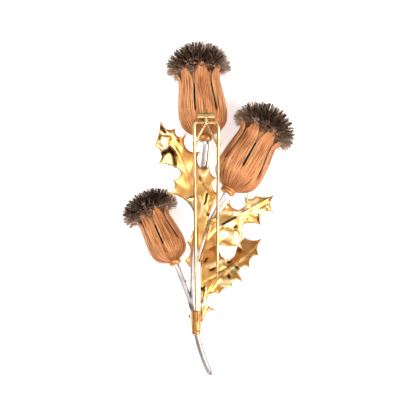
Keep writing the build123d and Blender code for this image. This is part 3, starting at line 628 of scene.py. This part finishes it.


# Leaves. The midrib and the outline rows are the part's own.
# An outline row: share along the midrib, reach as a share of the half width, and what stands there.
# A fold: from x, y to x, y, its width and depth, and how dark the shade painted along it is.
# A painted highlight stroke: from x, y to x, y, its width and strength.
# A bowl: x, y, radius, depth, and how dark the shade painted in it is.

leaves = dict(
    upperLeftLeaf=dict(
        node="upper_left_leaf",
        midrib=[(-2.72, -12.67, 14.8), (-2.35, -2.14, 17.65), (-5.55, 13.75, 18.39), (-14.4, 27.3, 11.0)],
        rib=0.10,
        halfWidth=8.6, droopLeft=16.0, droopRight=7.0, foot=0.5,
        left=[(0.16, 0.06, "corner"), (0.29, 0.06, "corner"), (0.42, 0.25, "bay"), (0.51, 0.82, "spine"),
              (0.55, 0.53, "bay"), (0.60, 0.51, "spine"), (0.625, 0.18, "bay"), (0.67, 0.24, "corner"),
              (0.715, 0.49, "bay"), (0.75, 0.77, "spine"), (0.79, 0.58, "bay"), (0.875, 0.63, "spine"),
              (0.935, 0.31, "bay")],
        right=[(0.94, 0.02, "bay"), (0.91, 0.31, "spine"), (0.865, 0.25, "bay"), (0.84, 0.52, "spine"),
               (0.76, 0.36, "bay"), (0.715, 0.74, "spine"), (0.67, 0.54, "bay"), (0.625, 0.55, "corner"),
               (0.605, 0.65, "bay"), (0.625, 0.92, "spine"), (0.58, 0.84, "bay"), (0.525, 0.98, "spine"),
               (0.48, 0.77, "bay"), (0.425, 0.90, "spine"), (0.365, 0.71, "bay"), (0.305, 0.52, "corner"),
               (0.19, 0.31, "bay")],
        folds=[(-14.6, 15.2, -13.6, 17.3, 0.55, 0.5, 1), (-13.6, 17.3, -11.7, 18.4, 0.75, 0.5, 1),
               (-11.7, 18.6, -10.5, 17.4, 0.65, 0.5, 1), (-10.5, 17.4, -9.9, 13.6, 0.4, 0.5, 1),
               (-11.8, 18.3, -9.6, 16.6, 0.3, 0.3, 0.9), (-14.7, 25.9, -13.2, 23.9, 0.42, 0.3, 1),
               (-15.2, 22.6, -11.5, 22, 0.6, 0.3, 0.3), (-11.5, 22, -9, 18.6, 0.75, 0.3, 0.3),
               (-2.5, 9.6, -1.2, 7.8, 0.22, 0.2, 0.4), (-1.2, 7.8, 0.3, 5.6, 0.25, 0.2, 0.5),
               (0, 4.5, -0.6, 1.7, 0.42, 0.4, 1), (-4.6, 3.6, -4.8, 3.6, 0.42, 0.3, 1),
               (-5.5, 3.3, -5.8, 3.2, 0.22, 0.2, 0.9), (-5.4, 2, -5.2, 1.1, 0.3, 0.2, 0.5),
               (0, -1.6, 0.5, -1.8, 0.42, 0.3, 1), (-2.4, 9.9, -2, 9.1, 0.34, 0.2, 0.8),
               (2.2, 3.7, 0.7, 1.9, 0.3, 0.2, 0.35), (0.7, 1.9, 0.4, -0.3, 0.32, 0.2, 0.4),
               (-15, 22.6, -14.4, 21.7, 0.32, 0.2, 0.5), (-3.1, 17.4, -3.1, 15.2, 0.5, 0.1, 0.3)],
        paintedHighlightStrokes=[(-13.6, 20.8, -13.2, 18.9, 0.95, 0.85), (-14.9, 24, -13.6, 23.1, 0.32, 0.7),
               (-13.6, 23.1, -10.2, 23.5, 0.32, 0.6), (-2.2, 11.9, -2, 10.7, 0.45, 0.8),
               (-2, 10.7, -0.6, 10.2, 0.42, 0.8), (-0.6, 10.2, 0.4, 11.5, 0.42, 0.8),
               (0.4, 11.5, 0.6, 13.2, 0.38, 0.7), (-2.3, 4, -1.2, 0.6, 0.4, 0.8),
               (-1.2, 0.6, -2.2, -2.5, 0.45, 0.8), (-0.8, 0.9, -0.5, 0.5, 0.5, 0.8),
               (-5.1, 2.5, -4.3, -1.6, 0.75, 0.55), (-3.4, 2.8, -3.4, -2.5, 0.35, 0.6),
               (-7.1, 11.8, -5.3, 10.2, 0.2, 0.3), (-5.3, 10.2, -4.5, 7.8, 0.22, 0.35)],
        bowls=[(-13.0, 20.6, 1.5, 0.35, 0.0), (-8.6, 21.4, 0.5, 0.35, 0.7)],
        seed=1.3),
    upperRightLeaf=dict(
        node="upper_right_leaf",
        midrib=[(-2.1, -16.4, 14.75), (-0.3, -5.2, 17.2), (10.2, -2.2, 16.0), (20.8, 4.2, 11.5)],
        halfWidth=9.5, droopLeft=8.0, droopRight=13.5, foot=0.6,
        left=[(0.21, 0.10, "corner"), (0.33, 0.25, "corner"), (0.405, 0.42, "spine"), (0.52, 0.42, "bay"),
              (0.64, 0.59, "spine"), (0.65, 0.20, "bay"), (0.77, 0.43, "spine"), (0.81, 0.27, "bay"),
              (0.86, 0.29, "spine"), (0.93, 0.09, "bay")],
        right=[(0.95, 0.12, "bay"), (0.93, 0.49, "spine"), (0.84, 0.32, "bay"), (0.78, 0.62, "spine"),
               (0.72, 0.45, "bay"), (0.66, 0.35, "corner"), (0.60, 0.41, "bay"), (0.58, 0.64, "spine"),
               (0.51, 0.75, "bay"), (0.48, 1.02, "spine"), (0.42, 0.78, "bay"), (0.34, 0.64, "spine"),
               (0.20, 0.23, "bay")],
        folds=[(4.8, -4.7, 8.8, -2.6, 0.4, 0.4, 1), (8.5, -5.8, 8.9, -5.5, 0.48, 0.3, 1),
               (2, -4.7, 2.2, -4.3, 0.26, 0.2, 0.7), (15.8, -1.6, 16, -3.3, 0.34, 0.2, 0.9),
               (12.2, -3.1, 12.3, -3.1, 0.24, 0.2, 0.5), (12.1, 1.9, 12.4, 2.5, 0.38, 0.3, 0.8),
               (19.4, 2.8, 20.3, 3.7, 0.36, 0.2, 0.9), (18.8, 0.2, 19.5, -0.8, 0.45, 0.2, 0.5),
               (16.1, 0.6, 18.3, 2.2, 1, 0.2, 0.15), (4.3, -3.3, 7.8, -2, 0.8, 0.15, 0.22),
               (5.3, -6.5, 9, -6.4, 0.28, 0.2, 0.35), (9, -6.4, 9.8, -7.8, 0.28, 0.2, 0.3),
               (4.3, -9.5, 7, -11, 0.42, 0.2, 0.35), (11.2, -9.9, 11.8, -11.5, 0.9, 0.1, 0.15),
               (4.3, 0.5, 9.6, -0.3, 0.45, 0.1, 0.2), (5.9, 2.2, 6.8, 1.2, 0.35, 0.2, 0.5),
               (13.3, -1.2, 15.2, -2.2, 0.5, 0.15, 0.3), (-0.1, -10.1, -1.6, -13.6, 0.3, 0.2, 0.35)],
        paintedHighlightStrokes=[(4, -1.2, 9.9, -1.3, 0.55, 0.9), (9.9, -1.3, 12.7, 0.5, 0.5, 0.7),
               (13.3, 1.9, 15.2, 1.9, 0.75, 0.75), (4, -5.5, 9.6, -2.6, 0.24, 0.9),
               (9.6, -2.6, 13.3, -0.2, 0.26, 0.9), (13.3, -0.2, 14.9, 1.2, 0.24, 0.8),
               (5.1, -5.3, 8.4, -4.7, 0.55, 0.75), (6, -8.2, 8.1, -8.5, 1.35, 0.85),
               (8.1, -9, 10.4, -11.2, 0.75, 0.85), (10.5, -2.8, 10.8, -4.7, 0.6, 0.75),
               (15.2, -1.4, 18.6, 0.6, 0.34, 0.7), (6, 1.2, 6.5, 0.8, 0.35, 0.7),
               (0.5, -4.7, 0.8, -5.3, 0.3, 0.7)],
        bowls=[(5.9, -7.9, 1.9, 0.60, 0.0), (4.6, -6.0, 0.9, 0.30, 0.0), (10.2, 0.9, 0.45, 0.35, 0.7),
               (12.0, 0.6, 1.3, 0.35, 0.0)],
        seed=2.1),
    lowerRightLeaf=dict(
        node="lower_right_leaf",
        midrib=[(-1.75, -35.1, 13.0), (-0.1, -20.6, 14.6), (7.7, -19.6, 9.6), (17.2, -9.3, 0.62)],
        halfWidth=7.0, droopLeft=2.0, droopRight=9.0, foot=0.35,
        left=[(0.28, 0.49, "corner"), (0.50, 1.37, "corner"), (0.58, 1.48, "corner"),
              (0.63, 1.40, "corner"), (0.655, 1.14, "corner"), (0.625, 0.61, "spine"), (0.66, 0.35, "bay"),
              (0.76, 0.38, "corner"), (0.82, 0.52, "bay"), (0.91, 0.59, "spine"), (0.94, 0.25, "bay")],
        right=[(0.94, 0.10, "bay"), (0.89, 0.39, "spine"), (0.83, 0.29, "bay"), (0.77, 0.50, "spine"),
               (0.71, 0.32, "bay"), (0.65, 0.41, "spine"), (0.64, 0.56, "bay"), (0.62, 0.78, "spine"),
               (0.53, 0.54, "bay"), (0.48, 0.76, "spine"), (0.405, 0.48, "bay"), (0.31, 0.41, "spine"),
               (0.225, 0.02, "bay"), (0.13, 0.51, "spine"), (0.07, 0.17, "bay")],
        folds=[(0.2, -11.3, 0.7, -11, 0.48, 0.3, 1), (-0.7, -16.4, 0, -15.2, 0.32, 0.3, 1),
               (1.2, -18.8, 2.2, -18.4, 0.48, 0.3, 1), (6.5, -16.7, 7.4, -16.2, 0.42, 0.3, 1),
               (9.2, -18, 9.4, -18.4, 0.46, 0.3, 1), (6.7, -20.6, 7, -21.1, 0.46, 0.3, 1),
               (3.7, -19.7, 8.1, -17.1, 0.3, 0.25, 0.6), (3.7, -18.6, 6.5, -17.7, 1, 0.15, 0.22),
               (3.7, -13.3, 4.7, -15, 0.45, 0.2, 0.7), (0.9, -11.5, 2.6, -13.3, 0.7, 0.15, 0.3),
               (-1.9, -25, -0.9, -24.2, 0.5, 0.2, 1), (-0.9, -24.2, -0.8, -25.4, 0.36, 0.2, 1),
               (-0.8, -25.4, -1.5, -29.1, 0.28, 0.2, 0.8), (1.2, -29.4, 2.6, -31, 0.34, 0.2, 0.75),
               (2.6, -31, 0.9, -31.9, 0.3, 0.2, 0.7), (-0.9, -31, 0, -32.2, 0.65, 0.1, 0.25),
               (-1.6, -34.7, -0.5, -33, 0.28, 0.2, 0.7), (4.7, -24.3, 7.1, -24.6, 0.28, 0.15, 0.4),
               (-1.1, -23.2, 2.8, -20.9, 0.4, 0.15, 0.25), (15.3, -14.4, 15.7, -14.5, 0.4, 0.1, 0.7),
               (8.8, -11.6, 10.2, -12.9, 0.75, 0.3, 0.8), (0.3, -21.7, 1.2, -21.9, 0.3, 0.1, 0.4)],
        paintedHighlightStrokes=[(-0.3, -17.8, 2.8, -16.9, 0.5, 0.85), (2.8, -16.9, 7.1, -15.4, 0.5, 0.9),
               (3.3, -21, 8.1, -17.5, 0.27, 0.9), (8.1, -17.5, 9.3, -16.6, 0.25, 0.8),
               (-1.2, -13.5, 1.6, -14.1, 0.9, 0.5), (7.6, -18.3, 9.6, -19.5, 0.5, 0.8),
               (5.3, -20.8, 5.9, -20.8, 0.55, 0.55), (4.8, -23.2, 7.6, -23.1, 1.1, 0.85),
               (6.8, -23.9, 8.1, -24.5, 0.6, 0.8), (-0.4, -24.5, -0.2, -27.9, 0.3, 0.6),
               (-0.6, -27.9, 0.3, -29.6, 0.75, 0.8), (-1.9, -31.2, -0.8, -28.5, 0.32, 0.8),
               (0.1, -31.6, 0.9, -31.1, 0.45, 0.8), (-1.8, -33, -1.6, -33.9, 0.35, 0.8),
               (9.9, -16.4, 12.4, -13.6, 0.22, 0.3)],
        bowls=[(5.0, -19.8, 1.5, 0.50, 0.0), (6.7, -16.6, 0.9, 0.35, 0.0), (3.4, -17.6, 0.8, 0.25, 0.0),
               (1.2, -27.2, 1.2, 0.35, 0.0)],
        seed=3.7),
    frontLeaf=dict(
        node="front_leaf",
        midrib=[(-4.2, -35.2, 11.5), (-4.7, -27.6, 11.8), (-5.0, -14.3, 11.8), (-4.3, -6.7, 11.8)],
        halfWidth=2.3, droopLeft=10.0, droopRight=10.0, foot=0.4,
        left=[(0.03, 0.34, "corner"), (0.08, 0.70, "spine"), (0.145, 0.31, "bay"), (0.265, 0.25, "corner"),
              (0.58, 0.16, "corner"), (0.66, 0.88, "spine"), (0.765, 0.19, "bay"), (0.85, 0.70, "spine"),
              (0.90, 0.30, "bay"), (0.96, 0.13, "corner")],
        right=[(0.90, 0.30, "bay"), (0.72, 0.70, "spine"), (0.50, 0.30, "bay"), (0.30, 0.70, "spine"),
               (0.10, 0.25, "bay")],
        seed=4.9),
)
leafForm = dict(spineTip=0.12, sheet=0.5, cup=0.03, spare=0.12, cell=0.34, rowShare=0.866, clearEdge=0.45,
                edgeStep=0.28, wholeHalf=7.0, rib=0.32, ribWidth=0.50, vein=0.08, veinWidth=0.95,
                veinLead=0.13, veinFoot=0.02, veinThinning=0.35, blending=2.0, dish=0.30, dishWidth=3.2,
                wave=0.14, curl=0.50, curls=(1.0, -0.35, 0.8, 0.5, -0.5), curlWidth=1.3, curlFrom=0.55,
                edgeRoll=0.12, edgeWidth=0.35, markSpread=1.2, edgeDark=0.35, edgeDarkWidth=0.25)


def midribPoint(points, t):
    a, b, c, d = (np.array(p) for p in points)
    s = 1 - t
    place = a * s**3 + b * (3 * s * s * t) + c * (3 * s * t * t) + d * t**3
    slope = (b - a) * (3 * s * s) + (c - b) * (6 * s * t) + (d - c) * (3 * t * t)
    travel = unit((slope[0], slope[1], 0.0))
    return place, travel, np.array((-travel[1], travel[0], 0.0))


def arcThrough(start, middle, end, step):
    # points of the circle through three points, the last one left out
    (ax, ay), (bx, by), (cx, cy) = start, middle, end
    d = 2 * (ax * (by - cy) + bx * (cy - ay) + cx * (ay - by))
    if abs(d) < 1e-6:
        return [start]
    ux = ((ax**2 + ay**2) * (by - cy) + (bx**2 + by**2) * (cy - ay) + (cx**2 + cy**2) * (ay - by)) / d
    uy = ((ax**2 + ay**2) * (cx - bx) + (bx**2 + by**2) * (ax - cx) + (cx**2 + cy**2) * (bx - ax)) / d
    radius = math.hypot(ax - ux, ay - uy)
    first = math.atan2(ay - uy, ax - ux)
    middleTurn = (math.atan2(by - uy, bx - ux) - first) % (2 * math.pi)
    turn = (math.atan2(cy - uy, cx - ux) - first) % (2 * math.pi)
    if middleTurn > turn:
        turn -= 2 * math.pi
    count = max(2, int(abs(turn) * radius / step))
    angles = [first + turn * k / count for k in range(count)]
    return [(ux + radius * math.cos(angle), uy + radius * math.sin(angle)) for angle in angles]


def leafOutline(leaf):
    rib, half, blunt = leaf["midrib"], leaf["halfWidth"], leafForm["spineTip"]
    place, travel, normal = midribPoint(rib, 0)
    corners = [(place + normal * leaf["foot"], travel * 0, None)]
    bay = None
    spines = []
    for side, rows in ((1, leaf["left"]), (-1, leaf["right"])):
        for share, reach, kind in rows:
            place, travel, normal = midribPoint(rib, share)
            point = place + normal * (side * reach * half)
            if kind == "bay":
                bay = point
                continue
            end = travel * (side * blunt) if kind == "spine" else travel * 0
            corners.append((point, end, bay))
            if kind == "spine":
                spines.append((share, side, point[:2]))
            bay = None
        if side == 1:
            place, travel, normal = midribPoint(rib, 1)
            corners.append((place, normal * -blunt, bay))
            bay = None
    place, travel, normal = midribPoint(rib, 0)
    corners.append((place - normal * leaf["foot"], travel * 0, bay))
    line = []
    for before, here in zip(corners, corners[1:]):
        start, end = (before[0] + before[1])[:2], (here[0] - here[1])[:2]
        if here[2] is None:
            count = max(1, int(np.linalg.norm(end - start) / leafForm["edgeStep"]))
            line += [tuple(start + (end - start) * k / count) for k in range(count)]
        else:
            line += arcThrough(tuple(start), tuple(here[2][:2]), tuple(end), leafForm["edgeStep"])
        if np.linalg.norm(here[1]) > 0:
            line.append(tuple(end))
    line.append(tuple(corners[-1][0][:2]))
    return line, spines


def insidePolygon(x, y, polygon):
    inside = np.zeros(x.shape, bool)
    px, py = np.array(polygon).T
    qx, qy = np.roll(px, -1), np.roll(py, -1)
    for ax, ay, bx, by in zip(px, py, qx, qy):
        crosses = (ay > y) != (by > y)
        if ay != by:
            inside ^= crosses & (x < (bx - ax) * (y - ay) / (by - ay) + ax)
    return inside


def segmentDistance(x, y, start, end):
    # distance to a line piece and how far along it the nearest point lies
    dx, dy = end[0] - start[0], end[1] - start[1]
    t = np.clip(((x - start[0]) * dx + (y - start[1]) * dy) / (dx * dx + dy * dy), 0, 1)
    return np.hypot(x - start[0] - t * dx, y - start[1] - t * dy), t


def leafBase(leaf, x, y):
    # height of the part's own folded sheet
    rib = leaf["midrib"]
    foot, tip = np.array(rib[0]), np.array(rib[3])
    chord = np.array((tip[0] - foot[0], tip[1] - foot[1], 0.0))
    length = np.linalg.norm(chord)
    ahead = chord / length
    left = np.array((-ahead[1], ahead[0], 0.0))
    shares = np.linspace(0, 1, 201)
    line = np.array([midribPoint(rib, t)[0] for t in shares])
    steps = (line - foot) @ ahead
    sides = (line - foot) @ left
    step = (x - foot[0]) * ahead[0] + (y - foot[1]) * ahead[1]
    side = (x - foot[0]) * left[0] + (y - foot[1]) * left[1]
    off = side - np.interp(step, steps, sides)
    reach = leaf["halfWidth"] + 2 * leafForm["spare"] * length
    fallLeft, fallRight = (math.tan(math.radians(leaf[side])) for side in ("droopLeft", "droopRight"))
    fall = np.abs(off) * np.where(off > 0, fallLeft, fallRight)
    across = np.abs(off) / reach
    return np.interp(step, steps, line[:, 2]) - fall + leafForm["cup"] * reach * 4 * across * (1 - across)


def mound(gap, width, power=2):
    # one at the middle of a feature, falling to nothing past its width
    return np.exp(-(gap / width)**power)


def leafRelief(leaf, x, y, spines, toEdge):
    # what hand work adds to the sheet: midrib, veins, dished lobes, curled spines, folds and bowls
    form = leafForm
    scale = min(1.0, leaf["halfWidth"] / form["wholeHalf"])
    line = np.array([midribPoint(leaf["midrib"], t)[0] for t in np.linspace(0, 1, 61)])
    nearRib = np.full(x.shape, 1e9)
    for a, b in zip(line, line[1:]):
        nearRib = np.minimum(nearRib, segmentDistance(x, y, a, b)[0])
    relief = leaf.get("rib", form["rib"]) * scale * mound(nearRib, form["ribWidth"])
    relief = relief - form["edgeRoll"] * mound(toEdge, form["edgeWidth"])
    veinSum = np.full(x.shape, 1e-9)
    curl = np.zeros(x.shape)
    for index, (spineShare, side, tip) in enumerate(spines):
        root = midribPoint(leaf["midrib"], max(form["veinFoot"], spineShare - form["veinLead"]))[0][:2]
        gap, t = segmentDistance(x, y, root, tip)
        veinSum += np.exp(-form["blending"] * (gap + form["veinThinning"] * t))
        outward = np.clip((t - form["curlFrom"]) / (1 - form["curlFrom"]), 0, 1)**2
        curl += form["curls"][index % len(form["curls"])] * mound(gap, form["curlWidth"]) * outward
    nearVein = np.maximum(-np.log(veinSum) / form["blending"], 0.0)
    relief = relief + form["vein"] * scale * mound(nearVein, form["veinWidth"])
    away = np.maximum(-np.log(veinSum + np.exp(-form["blending"] * nearRib)) / form["blending"], 0.0)
    relief = relief - form["dish"] * scale * (1 - mound(away, form["dishWidth"]))
    relief = relief + form["curl"] * scale * curl
    seed = leaf["seed"]
    waves = (np.sin(0.42 * x + 0.22 * y + seed) + np.sin(0.36 * y - 0.30 * x + 2.1 * seed)
             + 0.35 * np.sin(0.75 * x + 0.5 * y + 3.3 * seed))
    relief = relief + form["wave"] * scale * waves
    # painted shade: folds and bowls darken the colour where shade and dark reflections fall
    paintedShade = np.zeros(x.shape)
    for bx, by, radius, depth, dark in leaf.get("bowls", ()):
        bowl = mound(np.hypot(x - bx, y - by), radius, 4)
        relief = relief - depth * bowl
        paintedShade = np.maximum(paintedShade, dark * bowl)
    for ax, ay, bx, by, width, depth, dark in leaf.get("folds", ()):
        gap = segmentDistance(x, y, (ax, ay), (bx, by))[0]
        relief = relief - depth * mound(gap, width)
        paintedShade = np.maximum(paintedShade, dark * mound(gap, width * form["markSpread"], 4))
    # painted highlights: the listed strokes lighten the colour where the sheet would catch the light
    paintedHighlight = np.zeros(x.shape)
    for ax, ay, bx, by, width, strength in leaf.get("paintedHighlightStrokes", ()):
        gap = segmentDistance(x, y, (ax, ay), (bx, by))[0]
        paintedHighlight = np.maximum(paintedHighlight, strength * mound(gap, width, 4))
    # painted shade along the outline, where the rolled edge would reflect dark
    paintedShade = np.maximum(paintedShade, form["edgeDark"] * mound(toEdge, form["edgeDarkWidth"]))
    return leafBase(leaf, x, y) + relief, paintedShade, paintedHighlight


def edgeDistance(x, y, edge):
    near = np.full(x.shape, 1e9)
    for a, b in zip(edge, np.roll(edge, -1, axis=0)):
        near = np.minimum(near, segmentDistance(x, y, a, b + 1e-9)[0])
    return near


def buildLeaf(name, leaf):
    outline, spines = leafOutline(leaf)
    edge = np.array(outline)
    cell = leafForm["cell"]
    lowX, lowY = edge.min(axis=0)
    highX, highY = edge.max(axis=0)
    rowsY = np.arange(lowY, highY, cell * leafForm["rowShare"])
    rowsX = [np.arange(lowX + cell / 2 * (k % 2), highX, cell) for k in range(len(rowsY))]
    gridX = np.concatenate(rowsX)
    gridY = np.concatenate([np.full(len(row), y) for row, y in zip(rowsX, rowsY)])
    keep = insidePolygon(gridX, gridY, outline)
    gridX, gridY = gridX[keep], gridY[keep]
    inner = edgeDistance(gridX, gridY, edge) > leafForm["clearEdge"] * cell
    gridX, gridY = gridX[inner], gridY[inner]
    flatPoints = [Vector(p) for p in outline] + [Vector(p) for p in zip(gridX, gridY)]
    found = delaunay_2d_cdt(flatPoints, [], [list(range(len(outline)))], 1, 1e-4)
    plan = np.array([(p.x, p.y) for p in found[0]])
    toEdge = edgeDistance(plan[:, 0], plan[:, 1], edge)
    height, paintedShade, paintedHighlight = leafRelief(leaf, plan[:, 0], plan[:, 1], spines, toEdge)
    points = np.column_stack([plan, height])
    faces = [tuple(face) for face in found[2]]
    piece = addPiece(name, points, faces, looks["leafGold"], "brooch", leaf["node"], 60.0)
    # masks for the painted shade and the painted highlights
    pointMask(piece, "paintedShade", paintedShade)
    pointMask(piece, "paintedHighlight", paintedHighlight)
    skin = piece.modifiers.new("sheet", "SOLIDIFY")
    skin.thickness = leafForm["sheet"] * mm
    skin.offset = -1.0
    return piece


goldLeaves = [buildLeaf(name, leaf) for name, leaf in leaves.items()]
print("leaves made")


# Stems: tapered tubes over the part's own runs

stems = dict(
    main=dict(run=[(-0.95, 13.2, 13.9), (-3.05, -6.5, 13.0), (-4.15, -16.5, 12.9), (-4.4, -29.5, 13.2),
                   (-4.2, -35.2, 12.75), (-3.2, -39.0, 11.9), (-2.1, -43.4, 10.9), (-0.6, -47.7, 9.8),
                   (1.15, -51.6, 8.6)], radius=0.96, end=1.0, head="top"),
    right=dict(run=[(1.6, -3.1, 13.7), (-1.86, -9.6, 13.15), (-3.1, -13.6, 13.0), (-4.15, -18.6, 12.95)],
               radius=0.91, end=0.86, head="right"),
    left=dict(run=[(-5.3, -28.2, 13.25), (-4.45, -31.5, 13.1)], radius=0.91, end=0.86, head="left"),
)
# A patch of painted shade where a leaf meets or lies over a stem: from x, y to x, y, its width and strength
stemForm = dict(lead=1.2, gap=0.05, around=18, wobble=0.02, waveOne=23, waveTwo=9,
                bendShare=0.45, bendSteps=10, largestBend=60.0, spacing=0.9, endShare=0.55, beforeEnd=0.9,
                spurPlace=0.44, spurAround=12, spurRun=[(0.3, 0, 0), (0.85, 0.2, 0), (1.15, 0.35, 0)],
                spurRadii=[0.5, 0.45, 0.18], spurDark=0.9,
                # the under settings paint shade on each tube's flanks; the tail settings paint the lower end
                # darker, standing in for the dark it reflects
                underFrom=-0.35, underOver=0.7, underDark=0.85, tailFrom=-33.0, tailOver=6.0, paintedTailShade=0.55,
                paintedShadePatches=[(-1.9, 18.0, -1.9, 12.5, 0.42, 0.75), (-1.9, 12.9, -0.4, 12.9, 0.45, 1.0),
                      (-5.6, -29.9, -3.3, -31.5, 0.95, 0.85), (-5.6, -24.8, -4.9, -27.2, 0.40, 0.9),
                      (2.7, 2.6, 0.9, -1.2, 0.32, 0.8), (5.1, 4.6, 3.4, 2.0, 0.40, 0.5)])


def stemPoint(head, step):
    origin, axis, right, back = headFrame(head)
    return origin - axis * step


def buildStems():
    parts, paintedShade = [], []
    for index, stem in enumerate(stems.values()):
        head = heads[stem["head"]]
        lead = [stemPoint(head, stemForm["gap"]), stemPoint(head, stemForm["lead"])]
        path = roundedRun(lead + [np.array(p) for p in stem["run"]])
        length = np.linspace(0, 1, len(path))
        radii = stem["radius"] + (stem["end"] - stem["radius"]) * length
        wave = np.sin(stemForm["waveOne"] * length + index) * np.sin(stemForm["waveTwo"] * length)
        radii = radii * (1 + stemForm["wobble"] * wave)
        radii[-1] *= stemForm["endShare"]
        radii[-2] *= stemForm["beforeEnd"]
        points, faces = tube(path, radii, stemForm["around"])
        parts.append((points, [tuple(reversed(face)) for face in faces]))
        rows = np.array(points).reshape(len(path), stemForm["around"], 3)
        reach = np.maximum(np.linalg.norm(rows - path[:, None], axis=2), 1e-6)
        # painted shade: the flanks and underside of each tube darkened as if shaded
        under = (path[:, None, 2] - rows[:, :, 2]) / reach
        dark = np.clip((under - stemForm["underFrom"]) / stemForm["underOver"], 0, 1) * stemForm["underDark"]
        # painted shade: the lower end of the stems darkened, standing in for the dark surroundings it
        # reflects
        tail = np.clip((stemForm["tailFrom"] - rows[:, :, 1]) / stemForm["tailOver"], 0, 1)
        dark = np.maximum(dark, tail * stemForm["paintedTailShade"])
        # painted shade where leaves meet and lie over the stems
        for ax, ay, bx, by, width, strength in stemForm["paintedShadePatches"]:
            gap = segmentDistance(rows[:, :, 0], rows[:, :, 1], (ax, ay), (bx, by))[0]
            dark = np.maximum(dark, strength * mound(gap, width, 4))
        paintedShade += list(dark.ravel())
    lead = stemPoint(heads["left"], stemForm["lead"])
    spur = lead + (np.array(stems["left"]["run"][0]) - lead) * stemForm["spurPlace"]
    spurPath = [spur + step for step in stemForm["spurRun"]]
    points, faces = tube(spurPath, stemForm["spurRadii"], stemForm["spurAround"])
    parts.append((points, [tuple(reversed(face)) for face in faces]))
    paintedShade += [stemForm["spurDark"]] * len(points)
    points, faces = joined(parts)
    piece = addPiece("silverStems", points, faces, looks["stemSilver"], "brooch", "stems",
                     50.0)
    pointMask(piece, "paintedShade", paintedShade)
    return piece


silverStems = buildStems()
print("stems made")


# Pieces kept from the part, with their metals

keptPieces = dict(
    top_collar="collarGold", right_collar="collarGold", left_collar="collarGold",
    hinge_knuckles="pinGold", hinge_rivet="pinGold", pin_fork="pinGold",
    catch_tube="catchGold", catch_slider="catchGold", left_strut="collarGold", right_strut="pinGold",
)
for node, look in keptPieces.items():
    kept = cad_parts[node]
    kept.data.materials.clear()
    kept.data.materials.append(looks[look])
print("kept pieces dressed")


# Floor, light and camera

# the stage: metres for the floor and panels, millimetres for what the camera sees
stageSet = dict(floorSize=4.0, floorTone=0.90, floorGlow=0.55, floorRoughness=0.9, floorShine=0.1,
                floorDrop=0.0004, lens=250.0, sensor=36.0, view=128.96, focusHeight=13.0, centre=(0.31, 0.31))
panels = dict(
    keyPanel=dict(place=(-0.35, 0.30, 0.55), width=0.35, height=0.35, power=3.6, tint=(1, 1, 1)),
    sidePanel=dict(place=(0.45, -0.10, 0.40), width=0.25, height=0.40, power=3.0, tint=(1.0, 0.98, 0.95)),
    lowPanel=dict(place=(-0.05, -0.55, 0.30), width=0.40, height=0.16, power=1.2, tint=(1, 1, 1)),
)
studioWalls = dict(
    strength=0.85, backdrop=(0.93, 0.93, 0.93),
    tones=[(0.0, (0.50, 0.46, 0.42)), (0.12, (0.06, 0.05, 0.04)), (0.34, (0.14, 0.12, 0.10)),
           (0.58, (0.60, 0.58, 0.55)), (0.80, (1.0, 0.99, 0.97)), (1.0, (0.92, 0.92, 0.92))])


def buildFloor():
    half = stageSet["floorSize"] / 2
    mesh = bpy.data.meshes.new("floor")
    corners = [(-half, -half, 0), (half, -half, 0), (half, half, 0), (-half, half, 0)]
    mesh.from_pydata(corners, [], [(0, 1, 2, 3)])
    floor = bpy.data.objects.new("floor", mesh)
    floor.location.z = -stageSet["floorDrop"]
    scene.collection.objects.link(floor)
    material, nodes, links, shader = newMaterial("floorPaper")
    tone = stageSet["floorTone"]
    shader.inputs["Base Color"].default_value = (tone, tone, tone, 1)
    shader.inputs["Roughness"].default_value = stageSet["floorRoughness"]
    shader.inputs["Specular IOR Level"].default_value = stageSet["floorShine"]
    shader.inputs["Emission Color"].default_value = (1, 1, 1, 1)
    shader.inputs["Emission Strength"].default_value = stageSet["floorGlow"]
    mesh.materials.append(material)


def addPanel(name, panel):
    # a soft light panel that faces the brooch
    data = bpy.data.lights.new(name, "AREA")
    data.shape = "RECTANGLE"
    data.size, data.size_y = panel["width"], panel["height"]
    data.energy = panel["power"]
    data.color = panel["tint"]
    light = bpy.data.objects.new(name, data)
    scene.collection.objects.link(light)
    light.location = panel["place"]
    light.rotation_mode = "QUATERNION"
    light.rotation_quaternion = (-Vector(panel["place"])).to_track_quat("-Z", "Y")


def buildWorld():
    world = bpy.data.worlds.new("studio")
    scene.world = world
    world.use_nodes = True
    nodes, links = world.node_tree.nodes, world.node_tree.links
    background = nodes["Background"]
    place = nodes.new("ShaderNodeTexCoord")
    split = nodes.new("ShaderNodeSeparateXYZ")
    links.new(place.outputs["Generated"], split.inputs[0])
    around = colourRamp(nodes, links, split.outputs["Z"], studioWalls["tones"])
    seen = nodes.new("ShaderNodeLightPath")
    colour = mixColour(nodes, links, seen.outputs["Is Camera Ray"], around, studioWalls["backdrop"])
    links.new(colour, background.inputs["Color"])
    background.inputs["Strength"].default_value = studioWalls["strength"]


buildFloor()
buildWorld()
for panelName, panel in panels.items():
    addPanel(panelName, panel)

cameraData = bpy.data.cameras.new("camera")
cameraData.sensor_width = stageSet["sensor"]
cameraData.lens = stageSet["lens"]
camera = bpy.data.objects.new("camera", cameraData)
scene.collection.objects.link(camera)
distance = stageSet["lens"] / stageSet["sensor"] * stageSet["view"] * mm
camera.location = (stageSet["centre"][0] * mm, stageSet["centre"][1] * mm,
                   stageSet["focusHeight"] * mm + distance)
cameraData.clip_start, cameraData.clip_end = 0.01, 50.0
scene.camera = camera
scene.view_settings.view_transform = "Standard"
print("floor, light and camera made")
